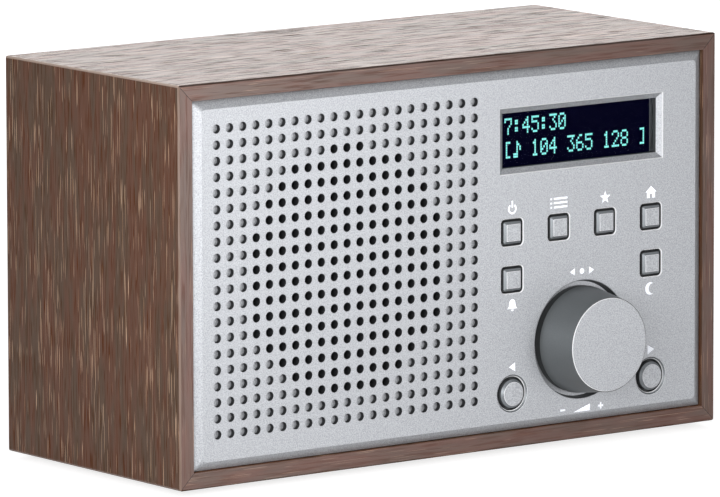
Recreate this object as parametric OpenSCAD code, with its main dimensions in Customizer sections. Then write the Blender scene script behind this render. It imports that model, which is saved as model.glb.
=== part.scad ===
// Tabletop radio: a veneered cabinet with a silver front panel, a speaker behind a
// perforated grille, a two-line display, eight buttons, a turning knob and a folded aerial.
// Millimetres, +Z up. The front faces -Y. The origin is on the table, under the cabinet's middle.

/* [Cabinet] */
// Width over the side boards
cabinet_w = 212; // [206:1:260]
// Height over the top and bottom boards
cabinet_h = 125.7; // [123:0.1:150]
// Depth of the boards
cabinet_d = 92.5; // [90:0.5:150]
// Thickness of the boards
board_t = 5.2; // [4:0.1:6]
// Radius of the long outer corners
corner_r = 1; // [0.5:0.1:3]
// Chamfer round the front and rear edges
edge_chamfer = 0.5; // [0.2:0.1:1]
// Height of the rubber feet
foot_h = 2; // [1:0.5:6]
// Diameter of the rubber feet
foot_d = 12; // [8:1:20]
// Distance of the feet's middles from the cabinet's sides
foot_inset = 21; // [16:1:30]
// Side of the square glue blocks
block_w = 8.5; // [7.5:0.5:9]
// Depth of the glue blocks
block_d = 12; // [8:1:14]

/* [Front panel] */
// Thickness of the panel
panel_t = 2.7; // [2.2:0.1:3.2]
// How far the panel's face stands in front of the boards
panel_proud = 0.35; // [0:0.05:1]
// Gap between the panel and the boards
panel_gap = 0.3; // [0.1:0.1:0.5]
// Width of the bevel round the face
bevel_w = 3; // [1.5:0.1:4]
// Depth of the bevel round the face
bevel_d = 1.8; // [1:0.1:2]
// Depth of the rim behind the face
rim_d = 10; // [8:0.5:12]
// Thickness of the rim
rim_t = 2; // [1.2:0.1:2.4]

/* [Grille] */
// Distance between holes
hole_pitch = 5; // [4.6:0.1:5]
// Diameter of the holes
hole_d = 2.8; // [1.5:0.05:3]
// From the cabinet's left side to the first column
grille_side = 14.1; // [13:0.1:16]
// From the last column to the middle of the controls
control_gap = 43.1; // [42:0.1:50]
// From the cabinet's top to the first row
grille_top = 14.4; // [13:0.05:16]
// From the last row to the cabinet's bottom
grille_bottom = 16.3; // [13:0.05:20]
// Depth of the blind holes
blind_d = 1.7; // [1:0.1:2]

/* [Display] */
// Width of the display opening at the face
display_w = 65.5; // [50:0.5:66]
// Height of the display opening at the face
display_h = 20.9; // [16:0.1:21]
// Width of the bevel round the opening
display_bevel_w = 1.8; // [1:0.1:2.2]
// Depth of the bevel round the opening
display_bevel_d = 1.6; // [1:0.1:2]
// From the cabinet's top to the middle of the display
display_top = 27.96; // [27.5:0.02:28.5]
// Thickness of the window
window_t = 1.5; // [1:0.1:2]
// Width of the display's circuit board
lcd_board_w = 80; // [78:1:81]
// Height of the display's circuit board
lcd_board_h = 36; // [34:0.5:36]

/* [Buttons] */
// From the cabinet's right side to the middle of the controls
control_side = 54.8; // [54:0.1:58]
// Distance between button columns
button_pitch = 18.7; // [17.5:0.1:19]
// From the cabinet's top to the upper row
upper_row = 57; // [56:0.5:60]
// From the cabinet's top to the lower row
lower_row = 72; // [70:0.5:75]
// Side of the square openings
square_opening = 8.6; // [7.5:0.1:9.2]
// Corner radius of the square openings
square_opening_r = 1.4; // [0.5:0.1:2]
// Gap between a cap and its opening
cap_gap = 0.9; // [0.3:0.05:1.2]
// How far a cap stands in front of the face
cap_proud = 1; // [0.5:0.1:2]
// How far a cap's sides slope inwards
cap_slope = 0.5; // [0.3:0.05:1.2]
// Diameter of the round openings
round_opening = 11.8; // [10:0.1:12.4]
// From the cabinet's bottom to the round buttons
round_up = 17.3; // [16.5:0.1:18]
// Travel of a button
button_travel = 0.5; // [0.2:0.05:0.6]

/* [Knob] */
// Diameter of the knob's front face
knob_d = 30.2; // [24:0.1:32]
// Diameter of the knob's rear edge
knob_base_d = 34.3; // [32:0.1:35.5]
// How far the knob stands in front of the face
knob_proud = 14; // [8:0.1:20]
// Chamfer of the knob's front edge
knob_chamfer = 0.4; // [0.2:0.1:1.5]
// Diameter of the recess round the knob
recess_d = 37.9; // [36:0.1:40]
// Depth of the recess
recess_depth = 2.5; // [1.5:0.1:2.8]
// From the cabinet's bottom to the knob's axis
knob_up = 31.9; // [30:0.1:36]
// Diameter of the knob's shaft
shaft_d = 6; // [5:0.1:6.4]
// Travel of the knob when it is pushed
knob_travel = 0.5; // [0.2:0.05:0.6]

/* [Speaker] */
// How far the flange ends inside the grille's first and last columns
flange_spare = 2; // [2:0.1:5]
// Distance of the speaker screws outside the flange's round edge
ear_out = 6.45; // [6:0.05:7]
// Width of the flange round the open holes
flange_w = 8.5; // [8:0.1:10]
// Thickness of the gasket
gasket_t = 4; // [3.9:0.1:5]
// Width of the surround and the flange together
surround_w = 13.9; // [13.5:0.1:16]
// Depth of the cone
cone_depth = 14.5; // [10:0.5:15]
// Radius of the pole piece
pole_r = 10; // [8:0.5:11]
// How far the ring magnet ends inside the flange
magnet_in = 15; // [12:0.5:20]
// Thickness of the ring magnet
magnet_t = 12; // [6:0.5:14]
// Greatest travel of the cone to either side
cone_travel = 1.5; // [0.5:0.1:1.5]

/* [Boards and sockets] */
// From the panel's back to the control board
control_depth = 10.4; // [9.8:0.1:12]
// Thickness of the circuit boards
pcb_t = 1.6; // [1:0.1:2]
// Width of the main board
main_w = 80; // [76:1:81]
// Depth of the main board
main_d = 60; // [50:1:62]
// Height of the spacers under the main board
spacer_h = 6; // [4:0.5:10]
// Distance of the rear panel from the boards' rear edges
rear_inset = 2; // [2:0.1:4]
// Thickness of the rear panel
rear_t = 3; // [2:0.1:5]
// Bore of the headphone and line sockets
audio_bore = 3.6; // [3.5:0.1:4]
// Bore of the adapter socket
dc_bore = 6.4; // [5.5:0.1:6.6]

/* [Aerial] */
// Length of the outer tube
aerial_len = 120; // [80:1:150]
// Radius of the outer tube
aerial_r = 2.5; // [2.4:0.1:3.5]
// Wall of the tubes
aerial_wall = 0.45; // [0.3:0.05:0.5]
// Radial clearance of a section in the next one
slip = 0.05; // [0.02:0.01:0.08]
// Distance that each section slides out
aerial_travel = 100; // [20:1:100]

/* [Hidden] */

$fn = 48;

// Part colours
veneer = "#5b4438";
silver = "#b9bdc1";
silver_side = "#6a7174";
black_plastic = "#1c1d1f";
steel = "#a9adb0";
pine = "#c9a877";
rubber = "#202020";
paper = "#1a1a1c";
circuit_green = "#1f5a38";
brass = "#c8a24a";
chrome = "#d5d8da";

// Clearances shared by the parts
fit = 0.05;          // radial clearance of a shaft in its hole
clear = 0.3;         // gap between parts that don't touch
eps = 0.02;          // overrun of a cut

// The cabinet's planes
half_w = cabinet_w / 2;
base_z = foot_h;
top_z = foot_h + cabinet_h;
front_y = -cabinet_d / 2;
back_y = cabinet_d / 2;
inner_half_w = half_w - board_t;
inner_base_z = base_z + board_t;
inner_top_z = top_z - board_t;
mid_z = (base_z + top_z) / 2;

// The front panel's planes
face_y = front_y - panel_proud;
panel_back_y = face_y + panel_t;
rim_back_y = face_y + rim_d;
panel_half_w = inner_half_w - panel_gap;
panel_half_h = (inner_top_z - inner_base_z) / 2 - panel_gap;
panel_edge_y = face_y + bevel_d;

// Grille: as many columns and rows as there is room for
grille_x = -half_w + grille_side;
grille_z = top_z - grille_top;
grille_room_w = cabinet_w - grille_side - control_gap - control_side;
grille_room_h = cabinet_h - grille_top - grille_bottom;
hole_columns = floor(grille_room_w / hole_pitch + 0.01) + 1;
hole_rows = floor(grille_room_h / hole_pitch + 0.01) + 1;
grille_w = (hole_columns - 1) * hole_pitch;
grille_h = (hole_rows - 1) * hole_pitch;

// Speaker: it fills the grille's width, or its height and half a hole
speaker_x = grille_x + grille_w / 2;
speaker_z = mid_z;
flange_r = min(grille_w / 2 - flange_spare, grille_h / 2 + 0.5);
open_r = flange_r - flange_w;
cone_r = flange_r - surround_w;
magnet_r = flange_r - magnet_in;
speaker_screw = (flange_r + ear_out) / sqrt(2);
ear_r = 5;
flange_t = 1;
flange_y = panel_back_y + gasket_t;
surround_t = 0.5;
roll_r = 3;
roll_mid_r = cone_r + clear + roll_r;
surround_r = roll_mid_r + roll_r + 3.6;
basket_hole_r = roll_mid_r + roll_r + 0.1;
basket_t = 1;
spider_y = flange_y + cone_depth + cone_travel + 3;
basket_back_y = spider_y + 4;
basket_back_r = magnet_r - 2;
window_half = basket_back_r / 2;
spider_ledge_r = basket_back_r - 2;
window_in_r = spider_ledge_r - 9;
spider_t = 0.4;
spider_wave = 0.6;
former_r = pole_r + clear;
former_t = 0.3;
winding_t = 0.3;
coil_r = former_r + former_t + winding_t;
gap_r = coil_r + clear;
top_plate_t = 4;
top_plate_r = basket_back_r - 1;
yoke_t = 4.5;
top_plate_back_y = basket_back_y + top_plate_t;
magnet_back_y = top_plate_back_y + magnet_t;
yoke_back_y = magnet_back_y + yoke_t;
cone_t = 0.5;
cone_neck_y = flange_y + cone_depth;
dust_cap_r = former_r + 1.6;
lead_r = 0.8;
lead_pitch = 4;
lead_rise = 8;

// Screws
screw_r = 1.5;
head_r = 2.75;
head_t = 1.8;
screw_hole_r = screw_r + 0.02;      // hole that holds the thread
screw_clear_r = screw_r + 0.2;      // hole that the screw passes through
screw_grip = 6;
post_r = 3;
small_post_r = 2.5;
corner_in = 5;                      // middle of a corner screw from the boards
corner_x = inner_half_w - corner_in;
corner_z = (inner_top_z - inner_base_z) / 2 - corner_in;

// Display
control_x = half_w - control_side;
display_z = top_z - display_top;
window_lap = 1.2;
opening_w = display_w - 2 * display_bevel_w;
opening_h = display_h - 2 * display_bevel_w;
window_back_y = panel_back_y + window_t;
frame_y = window_back_y + clear;
frame_t = 0.5;
glass_t = 2.8;
backlight_t = 2.8;
glass_y = frame_y + frame_t;
backlight_y = glass_y + glass_t;
lcd_board_y = backlight_y + backlight_t;
frame_w = display_w + 6.5;
frame_h = display_h + 4;
lcd_screw_x = lcd_board_w / 2 - 2.5;
lcd_screw_z = lcd_board_h / 2 - 2.5;

// Control board
control_y = panel_back_y + control_depth;
control_w = 3 * button_pitch + 18;
control_top_z = display_z - lcd_board_h / 2 - 3;
control_base_z = inner_base_z + 4.5;
upper_z = top_z - upper_row;
lower_z = top_z - lower_row;
round_z = base_z + round_up;
knob_z = base_z + knob_up;
outer_column = 1.5 * button_pitch;
inner_column = 0.5 * button_pitch;
upper_post_x = button_pitch;
lower_post_x = outer_column;
lower_post_z = (lower_z + round_z) / 2;

// Push switches and button caps
switch_w = 6.2;
switch_t = 3.5;
plunger_r = 1.7;
plunger_out = 1;
plunger_in = 1.5;
switch_y = control_y - switch_t;
stem_r = 2.2;
plunger_y = switch_y - plunger_out;
stem_end_y = plunger_y - 0.05;
cap_half = square_opening / 2 - cap_gap;
cap_front_y = face_y - cap_proud;
cap_corner_r = 0.6;
flange_gap = 0.15;
cap_flange_t = 1;
cap_flange_lap = 0.9;
round_lip = 0.5;
round_cap_r = round_opening / 2 - cap_gap - round_lip;

// Knob and encoder
recess_r = recess_d / 2;
recess_floor_y = face_y + recess_depth;
recess_wall = 2;
recess_floor_t = 1.8;
recess_back_y = recess_floor_y + recess_floor_t;
knob_r = knob_d / 2;
knob_base_r = knob_base_d / 2;
knob_front_y = face_y - knob_proud;
knob_back_y = face_y;
hub_back_y = recess_floor_y - knob_travel - 0.4;
knob_shell = 2;
knob_front_t = 2.5;
shaft_r = shaft_d / 2;
hub_r = shaft_r + 2.2;
bush_r = shaft_r + 0.6;
encoder_w = 12;
encoder_t = 6.5;
encoder_y = control_y - encoder_t;
encoder_wall = 1.2;
rotor_t = 2.6;
rotor_room = 3;
rotor_r = encoder_w / 2 - 0.8;
rotor_back_y = encoder_y + encoder_wall + rotor_room;
shaft_end_y = rotor_back_y + 0.9;
shaft_front_y = knob_front_y + knob_front_t + 0.5;

// Rear panel, main board and sockets
rear_outer_y = back_y - rear_inset;
rear_inner_y = rear_outer_y - rear_t;
main_z = inner_base_z + spacer_h;
main_top_z = main_z + pcb_t;
main_back_y = rear_inner_y - 1.2;
main_front_y = main_back_y - main_d;
main_x0 = control_x - main_w / 2;
main_screw_in = 4;
spacer_r = 3;
socket_w = 9;
socket_h = 11;
socket_l = 13;
socket_z = main_top_z + socket_h / 2;
socket_front_y = rear_inner_y - clear - socket_l;
audio_nozzle_r = audio_bore / 2 + 1.2;
audio_depth = 14;
dc_nozzle_r = dc_bore / 2 + 0.8;
dc_pin_r = 1;
dc_depth = 9.5;
dc_x = control_x + 28;
headphone_x = control_x + 6;
line_x = control_x - 12;
hole_gap = 0.3;
cable_t = 0.6;
cable_bend = 3;
ribbon_w = 18;
ribbon_rise = 16;
can_w = 32;
can_d = 22;
can_h = 4;
fins = 5;
fin_t = 1;
fin_pitch = 3;
fin_h = 12;
sink_d = 16;
capacitor_r = 4;
capacitor_h = 12;
big_capacitor_r = 5;
big_capacitor_h = 16;

// Aerial
aerial_base_r = 6;
aerial_base_t = 3;
eye_r = aerial_r;
eye_half = 2.2;
cheek_t = 1.6;
cheek_r = 3;
pin_r = 1;
aerial_base_y = rear_outer_y + clear;
aerial_deck_y = aerial_base_y + max(aerial_base_t, rear_inset + 1.3 - clear);
aerial_y = aerial_deck_y + clear + aerial_r;
aerial_x = inner_half_w - 14;
aerial_z = inner_top_z - 12;
neck = 4.2;
tube_x = aerial_x - neck;
tube_end_x = tube_x - aerial_len;
middle_r = aerial_r - aerial_wall - slip;
tip_r = middle_r - aerial_wall - slip;
section_step = 2;
tip_cap_l = 4;
stud_in = 2.4;

// ---- Shapes ----

// A cylinder along Y from y0 to y1
module rod_y(r, y0, y1) {
    translate([0, y0, 0])
        rotate([-90, 0, 0])
            cylinder(h = y1 - y0, r = r);
}

// A cylinder along X from x0 to x1
module rod_x(r, x0, x1) {
    translate([x0, 0, 0])
        rotate([0, 90, 0])
            cylinder(h = x1 - x0, r = r);
}

// A flat outline in X and Z, made solid from y0 to y1
module prism_y(y0, y1) {
    translate([0, y1, 0])
        rotate([90, 0, 0])
            linear_extrude(y1 - y0)
                children();
}

// A flat outline in Y and Z, made solid from x0 to x1
module prism_x(x0, x1) {
    translate([x0, 0, 0])
        rotate([90, 0, 90])
            linear_extrude(x1 - x0)
                children();
}

// A profile of radius and Y, turned round the Y axis
module turned_y() {
    rotate([-90, 0, 0])
        rotate_extrude()
            children();
}

// A box given by its lowest and highest corners
module span(low, high) {
    translate(low)
        cube(high - low);
}

// A centred rectangle with round corners
module rounded(w, h, r) {
    square([w - 2 * r, h], center = true);
    square([w, h - 2 * r], center = true);
    for (x = [-1, 1], z = [-1, 1])
        translate([x * (w / 2 - r), z * (h / 2 - r)])
            circle(r);
}

// A centred rectangle with cut corners
module chamfered(w, h, c) {
    polygon([
        [-w / 2 + c, -h / 2], [w / 2 - c, -h / 2], [w / 2, -h / 2 + c], [w / 2, h / 2 - c],
        [w / 2 - c, h / 2], [-w / 2 + c, h / 2], [-w / 2, h / 2 - c], [-w / 2, -h / 2 + c]
    ]);
}

// A block along Y whose half sizes go from a (at y0) to b (at y1), like a low pyramid
module taper_y(a, b, y0, y1) {
    reach_x = max(a[0], b[0]) + 1;
    reach_z = max(a[1], b[1]) + 1;
    intersection() {
        prism_x(-reach_x, reach_x)
            polygon([[y0, -a[1]], [y1, -b[1]], [y1, b[1]], [y0, a[1]]]);
        translate([0, 0, -reach_z])
            linear_extrude(2 * reach_z)
                polygon([[-a[0], y0], [-b[0], y1], [b[0], y1], [a[0], y0]]);
    }
}

// Copies at the four corners of a rectangle
module four(x, z) {
    for (sx = [-1, 1], sz = [-1, 1])
        translate([sx * x, 0, sz * z])
            children();
}

// A pan-head screw along Y: its head's seat at y, its point towards -Y
module screw_forward(y, length) {
    rod_y(head_r, y, y + head_t);
    rod_y(screw_r, y - length, y + eps);
}

// A wire along a list of points that never runs along X: a ring at each point, skinned
function unit(v) = v / norm(v);
function run(points, i) = unit(points[i + 1] - points[i]);
function tangent(points, i) = unit(
    (i > 0 ? run(points, i - 1) : [0, 0, 0]) + (i < len(points) - 1 ? run(points, i) : [0, 0, 0]));
function ring(points, i, r, sides) =
    let (t = tangent(points, i), a = unit(cross(t, [1, 0, 0])), b = cross(t, a))
    [for (k = [0 : sides - 1]) points[i] + r * (a * cos(360 * k / sides) + b * sin(360 * k / sides))];

module wire(points, r) {
    sides = 10;
    last = len(points) - 1;
    polyhedron(
        points = [for (i = [0 : last]) each ring(points, i, r, sides)],
        faces = concat(
            [[for (k = [0 : sides - 1]) k]],
            [for (i = [0 : last - 1], k = [0 : sides - 1])
                [i * sides + k, (i + 1) * sides + k, (i + 1) * sides + (k + 1) % sides,
                    i * sides + (k + 1) % sides]],
            [[for (k = [sides - 1 : -1 : 0]) last * sides + k]]
        )
    );
}

// ---- Cabinet ----

// The cabinet's outer form, with round corners and chamfered front and rear edges
module cabinet_form() {
    intersection() {
        translate([0, 0, mid_z])
            prism_y(front_y, back_y)
                rounded(cabinet_w, cabinet_h, corner_r);
        translate([0, 0, mid_z])
            prism_x(-half_w - 1, half_w + 1)
                chamfered(cabinet_d, cabinet_h, edge_chamfer);
        translate([0, 0, base_z - 1])
            linear_extrude(cabinet_h + 2)
                chamfered(cabinet_w, cabinet_d, edge_chamfer);
    }
}

// A board, mitred at both ends: out is its outer edge and in its inner edge, in X and Z
module board(outline) {
    color(veneer)
        intersection() {
            prism_y(front_y, back_y)
                polygon(outline);
            cabinet_form();
        }
}

module cabinet_top() {
    board([[-half_w, top_z], [-inner_half_w, inner_top_z], [inner_half_w, inner_top_z], [half_w, top_z]]);
}

module cabinet_bottom() {
    board([[-half_w, base_z], [half_w, base_z], [inner_half_w, inner_base_z], [-inner_half_w, inner_base_z]]);
}

module side_board(s) {
    board([[s * half_w, base_z], [s * half_w, top_z], [s * inner_half_w, inner_top_z],
        [s * inner_half_w, inner_base_z]]);
}

module cabinet_left() {
    side_board(-1);
}

module cabinet_right() {
    side_board(1);
}

// Four glue blocks in the corners, each drilled for its screw
module blocks(y0) {
    color(pine)
        translate([0, 0, mid_z])
            for (sx = [-1, 1], sz = [-1, 1])
                difference() {
                    translate([sx * (inner_half_w - block_w / 2), 0,
                        sz * ((inner_top_z - inner_base_z) / 2 - block_w / 2)])
                        prism_y(y0, y0 + block_d)
                            square(block_w, center = true);
                    translate([sx * corner_x, 0, sz * corner_z])
                        children();
                }
}

module front_blocks() {
    blocks(rim_back_y)
        rod_y(screw_clear_r, rim_back_y - 1, rim_back_y + block_d + 1);
}

module rear_blocks() {
    blocks(rear_inner_y - block_d)
        rod_y(screw_hole_r, rear_inner_y - screw_grip - 0.5, rear_inner_y + 1);
}

module feet() {
    color(rubber)
        for (x = [-1, 1], y = [-1, 1])
            translate([x * (half_w - foot_inset), y * (cabinet_d / 2 - foot_inset), 0])
                rotate_extrude()
                    polygon([[0, 0], [foot_d / 2 - 0.5, 0], [foot_d / 2, 0.5], [foot_d / 2, foot_h],
                        [0, foot_h]]);
}

// ---- Front panel ----

// The face with its bevelled edge, and the rim behind it
module panel_body() {
    translate([0, 0, mid_z]) {
        taper_y([panel_half_w - bevel_w, panel_half_h - bevel_w], [panel_half_w, panel_half_h],
            face_y, panel_edge_y);
        prism_y(panel_edge_y, panel_back_y)
            square([2 * panel_half_w, 2 * panel_half_h], center = true);
        prism_y(panel_back_y, rim_back_y)
            difference() {
                square([2 * panel_half_w, 2 * panel_half_h], center = true);
                square([2 * (panel_half_w - rim_t), 2 * (panel_half_h - rim_t)], center = true);
            }
    }
}

// A post on the panel's back that a screw from behind goes into
module post(r, y_end) {
    rod_y(r, panel_back_y - 0.5, y_end);
}

module post_hole(y_end) {
    rod_y(screw_hole_r, max(y_end - screw_grip - 0.5, panel_back_y - 0.3), y_end + 1);
}

module at_corner_posts() {
    translate([0, 0, mid_z])
        four(corner_x, corner_z)
            children();
}

module at_speaker_posts() {
    translate([speaker_x, 0, speaker_z])
        four(speaker_screw, speaker_screw)
            children();
}

module at_display_posts() {
    translate([control_x, 0, display_z])
        four(lcd_screw_x, lcd_screw_z)
            children();
}

module at_control_posts() {
    for (s = [-1, 1]) {
        translate([control_x + s * upper_post_x, 0, upper_z])
            children();
        translate([control_x + s * lower_post_x, 0, lower_post_z])
            children();
    }
}

module panel_posts() {
    at_corner_posts()
        post(post_r, rim_back_y);
    at_speaker_posts()
        post(post_r, flange_y);
    at_display_posts()
        post(small_post_r, lcd_board_y);
    at_control_posts()
        post(small_post_r, control_y);
}

module panel_post_holes() {
    at_corner_posts()
        post_hole(rim_back_y);
    at_speaker_posts()
        post_hole(flange_y);
    at_display_posts()
        post_hole(lcd_board_y);
    at_control_posts()
        post_hole(control_y);
}

// The grille: holes near the speaker's axis go through, the others are blind
module grille_holes() {
    for (i = [0 : hole_columns - 1], j = [0 : hole_rows - 1]) {
        x = grille_x + i * hole_pitch;
        z = grille_z - j * hole_pitch;
        open = norm([x - speaker_x, z - speaker_z]) <= open_r;
        translate([x, 0, z])
            rod_y(hole_d / 2, face_y - 1, open ? panel_back_y + 1 : face_y + blind_d, $fn = 24);
    }
}

module display_opening() {
    translate([control_x, 0, display_z]) {
        taper_y([display_w / 2 + display_bevel_w, display_h / 2 + display_bevel_w],
            [opening_w / 2, opening_h / 2], face_y - display_bevel_d, face_y + display_bevel_d);
        prism_y(face_y, panel_back_y + 1)
            square([opening_w, opening_h], center = true);
    }
}

// The places of the square buttons
module at_square(column, z) {
    translate([control_x + column, 0, z])
        children();
}

module square_openings() {
    for (column = [-outer_column, -inner_column, inner_column, outer_column])
        at_square(column, upper_z)
            prism_y(face_y - 1, panel_back_y + 1)
                rounded(square_opening, square_opening, square_opening_r);
    for (column = [-outer_column, outer_column])
        at_square(column, lower_z)
            prism_y(face_y - 1, panel_back_y + 1)
                rounded(square_opening, square_opening, square_opening_r);
}

// A round opening has a sloping lip at the face
module round_openings() {
    for (s = [-1, 1])
        translate([control_x + s * outer_column, 0, round_z])
            turned_y()
                polygon([[0, face_y - 1], [round_opening / 2 + 0.5, face_y - 1],
                    [round_opening / 2, face_y], [round_opening / 2 - round_lip, face_y + 1],
                    [round_opening / 2 - round_lip, panel_back_y + 1], [0, panel_back_y + 1]]);
}

module front_panel() {
    color(silver)
        difference() {
            union() {
                panel_body();
                panel_posts();
                translate([control_x, 0, knob_z])
                    rod_y(recess_r + recess_wall, panel_back_y - 0.5, recess_back_y);
            }
            grille_holes();
            display_opening();
            square_openings();
            round_openings();
            translate([control_x, 0, knob_z]) {
                rod_y(recess_r, face_y - 1, recess_floor_y);
                rod_y(bush_r + clear, face_y, recess_back_y + 1);
            }
            panel_post_holes();
        }
}

module front_panel_screws() {
    color(steel)
        at_corner_posts()
            screw_forward(rim_back_y + block_d, block_d + screw_grip);
}

// ---- Rear panel ----

module rear_panel() {
    color(black_plastic)
        difference() {
            translate([0, 0, mid_z])
                prism_y(rear_inner_y, rear_outer_y)
                    square([2 * panel_half_w, 2 * panel_half_h], center = true);
            at_corner_posts()
                rod_y(screw_clear_r, rear_inner_y - 1, rear_outer_y + 1);
            translate([dc_x, 0, socket_z])
                rod_y(dc_nozzle_r + hole_gap, rear_inner_y - 1, rear_outer_y + 1);
            for (x = [headphone_x, line_x])
                translate([x, 0, socket_z])
                    rod_y(audio_nozzle_r + hole_gap, rear_inner_y - 1, rear_outer_y + 1);
            translate([aerial_x, 0, aerial_z])
                rod_y(screw_clear_r, rear_inner_y - 1, rear_outer_y + 1);
        }
}

module rear_panel_screws() {
    color(steel)
        at_corner_posts()
            screw_forward(rear_outer_y, rear_t + screw_grip);
}

// ---- Speaker ----

module at_speaker() {
    translate([speaker_x, 0, speaker_z])
        children();
}

// A flat ring along Y
module ring_y(outer, inner, y0, y1) {
    difference() {
        rod_y(outer, y0, y1);
        rod_y(inner, y0 - 1, y1 + 1);
    }
}

module speaker_gasket() {
    color(rubber)
        at_speaker()
            ring_y(flange_r, surround_r + clear, panel_back_y, flange_y, $fn = 96);
}

// The pressed frame: flange, sloping wall with four windows, and the floor on the magnet
module speaker_basket() {
    wall_r = basket_hole_r;
    color(black_plastic)
        at_speaker()
            difference() {
                union() {
                    prism_y(flange_y, flange_y + flange_t) {
                        circle(flange_r, $fn = 96);
                        rounded(2 * (speaker_screw + ear_r), 2 * (speaker_screw + ear_r), ear_r);
                    }
                    turned_y($fn = 96)
                        polygon([[wall_r - 1, flange_y], [wall_r + basket_t, flange_y],
                            [spider_ledge_r + 5, spider_y], [basket_back_r, basket_back_y],
                            [gap_r - 2, basket_back_y], [gap_r - 2, basket_back_y - basket_t],
                            [spider_ledge_r, basket_back_y - basket_t], [spider_ledge_r, spider_y],
                            [spider_ledge_r + 4, spider_y], [wall_r - 1, flange_y]]);
                }
                rod_y(wall_r, flange_y - 1, flange_y + flange_t, $fn = 96);
                rod_y(gap_r + 0.8, basket_back_y - 3, basket_back_y + 1);
                for (a = [0 : 90 : 270])
                    rotate([0, a, 0])
                        span([window_in_r, flange_y + 3, -window_half],
                            [flange_r, spider_y - 1, window_half]);
                four(speaker_screw, speaker_screw)
                    rod_y(screw_clear_r, flange_y - 1, flange_y + flange_t + 1);
            }
}

// The surround: a half roll with a flat lip on the flange
module speaker_surround() {
    color(rubber)
        at_speaker()
            turned_y($fn = 96)
                polygon(concat(
                    [for (a = [0 : 15 : 180]) [roll_mid_r + roll_r * cos(a), flange_y - roll_r * sin(a)]],
                    [for (a = [180 : -15 : 0]) [roll_mid_r + (roll_r - surround_t) * cos(a),
                        flange_y - (roll_r - surround_t) * sin(a)]]
                ));
    color(rubber)
        at_speaker()
            ring_y(surround_r, roll_mid_r + roll_r - surround_t, flange_y - surround_t, flange_y, $fn = 96);
}

module speaker_cone() {
    color(paper)
        at_speaker()
            turned_y($fn = 96)
                polygon([[cone_r, flange_y - cone_t], [cone_r, flange_y],
                    [former_r + former_t, cone_neck_y + cone_t], [former_r + former_t, cone_neck_y]]);
}

// A shallow dome on the cone's neck
module dust_cap() {
    rise = 4;
    slope = cone_depth / (cone_r - former_r - former_t);
    seat_y = cone_neck_y - (dust_cap_r - former_r - former_t) * slope - cone_t - 0.05;
    color(paper)
        at_speaker()
            turned_y()
                polygon(concat(
                    [for (a = [0 : 10 : 90]) [dust_cap_r * cos(a), seat_y - rise * sin(a)]],
                    [for (a = [90 : -10 : 0]) [(dust_cap_r - 0.4) * cos(a), seat_y - (rise - 0.4) * sin(a)]]
                ));
}

// The spider: a corrugated ring between the coil former and the basket's ledge
module speaker_spider() {
    inner = former_r + former_t + clear;
    outer = spider_ledge_r + 3;
    steps = 42;
    waves = 5;
    function wave(i) = spider_wave * sin(i * waves * 360 / steps);
    function radius(i) = inner + (spider_ledge_r - 0.5 - inner) * i / steps;
    mid_y = spider_y - spider_t;
    color("#8a6a3a")
        at_speaker()
            turned_y($fn = 64)
                polygon(concat(
                    [for (i = [0 : steps]) [radius(i), mid_y + wave(i)]],
                    [[outer, mid_y], [outer, mid_y + spider_t]],
                    [for (i = [steps : -1 : 0]) [radius(i), mid_y + spider_t + wave(i)]]
                ));
}

// The coil: a thin former with its winding in the magnet's gap
module voice_coil() {
    color(brass)
        at_speaker() {
            ring_y(former_r + former_t, former_r, cone_neck_y, top_plate_back_y + 3);
            ring_y(coil_r, former_r + former_t, basket_back_y - 1, top_plate_back_y + 3);
        }
}

module speaker_top_plate() {
    color(steel)
        at_speaker()
            ring_y(top_plate_r, gap_r, basket_back_y, top_plate_back_y);
}

module speaker_magnet() {
    color("#2b2b2d")
        at_speaker()
            ring_y(magnet_r, gap_r + 5, top_plate_back_y, magnet_back_y, $fn = 96);
}

// The yoke: a disc behind the magnet with the pole on it
module speaker_yoke() {
    color(steel)
        at_speaker()
            turned_y()
                polygon([[0, basket_back_y], [pole_r, basket_back_y], [pole_r, magnet_back_y],
                    [top_plate_r, magnet_back_y], [top_plate_r, yoke_back_y - 1],
                    [top_plate_r - 1, yoke_back_y], [0, yoke_back_y]]);
}

module speaker_screws() {
    color(steel)
        at_speaker_posts()
            screw_forward(flange_y + flange_t, min(screw_grip, gasket_t - 0.4) + flange_t);
}

// Two leads from the basket's flange to the main board
module speaker_leads() {
    start_x = speaker_x + speaker_screw + ear_r - 2;
    start_z = speaker_z - speaker_screw + ear_r + 1;
    end_x = main_x0 + 7;
    for (i = [0, 1]) {
        drop = i * lead_pitch;
        end_y = main_front_y + 8 + drop;
        color(i == 0 ? "#a02020" : "#202020")
            wire([
                [start_x, flange_y + flange_t, start_z + lead_pitch - drop],
                [start_x, flange_y + flange_t + lead_rise, start_z + lead_pitch - drop],
                [start_x + lead_pitch, main_front_y - lead_pitch, main_top_z + 2 * lead_rise - drop],
                [end_x, end_y, main_top_z + 1.5 * lead_rise - drop],
                [end_x, end_y, main_top_z]
            ], lead_r);
    }
}

// ---- Display ----

module at_display() {
    translate([control_x, 0, display_z])
        children();
}

module display_window() {
    color("#20262c")
        at_display()
            prism_y(panel_back_y, window_back_y)
                square([opening_w + 2 * window_lap, opening_h + 2 * window_lap], center = true);
}

// The steel frame that clamps the glass to its board
module display_frame() {
    color(black_plastic)
        at_display()
            difference() {
                prism_y(frame_y, lcd_board_y)
                    square([frame_w, frame_h], center = true);
                prism_y(glass_y, lcd_board_y + 1)
                    square([frame_w - 2 * frame_t, frame_h - 2 * frame_t], center = true);
                prism_y(frame_y - 1, glass_y + 1)
                    square([opening_w + 1, opening_h + 1], center = true);
            }
}

// A plate that fills the frame's inside, with a small gap
module frame_filling(y0, y1) {
    at_display()
        prism_y(y0, y1)
            square([frame_w - 2 * frame_t - 0.2, frame_h - 2 * frame_t - 0.2], center = true);
}

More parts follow.
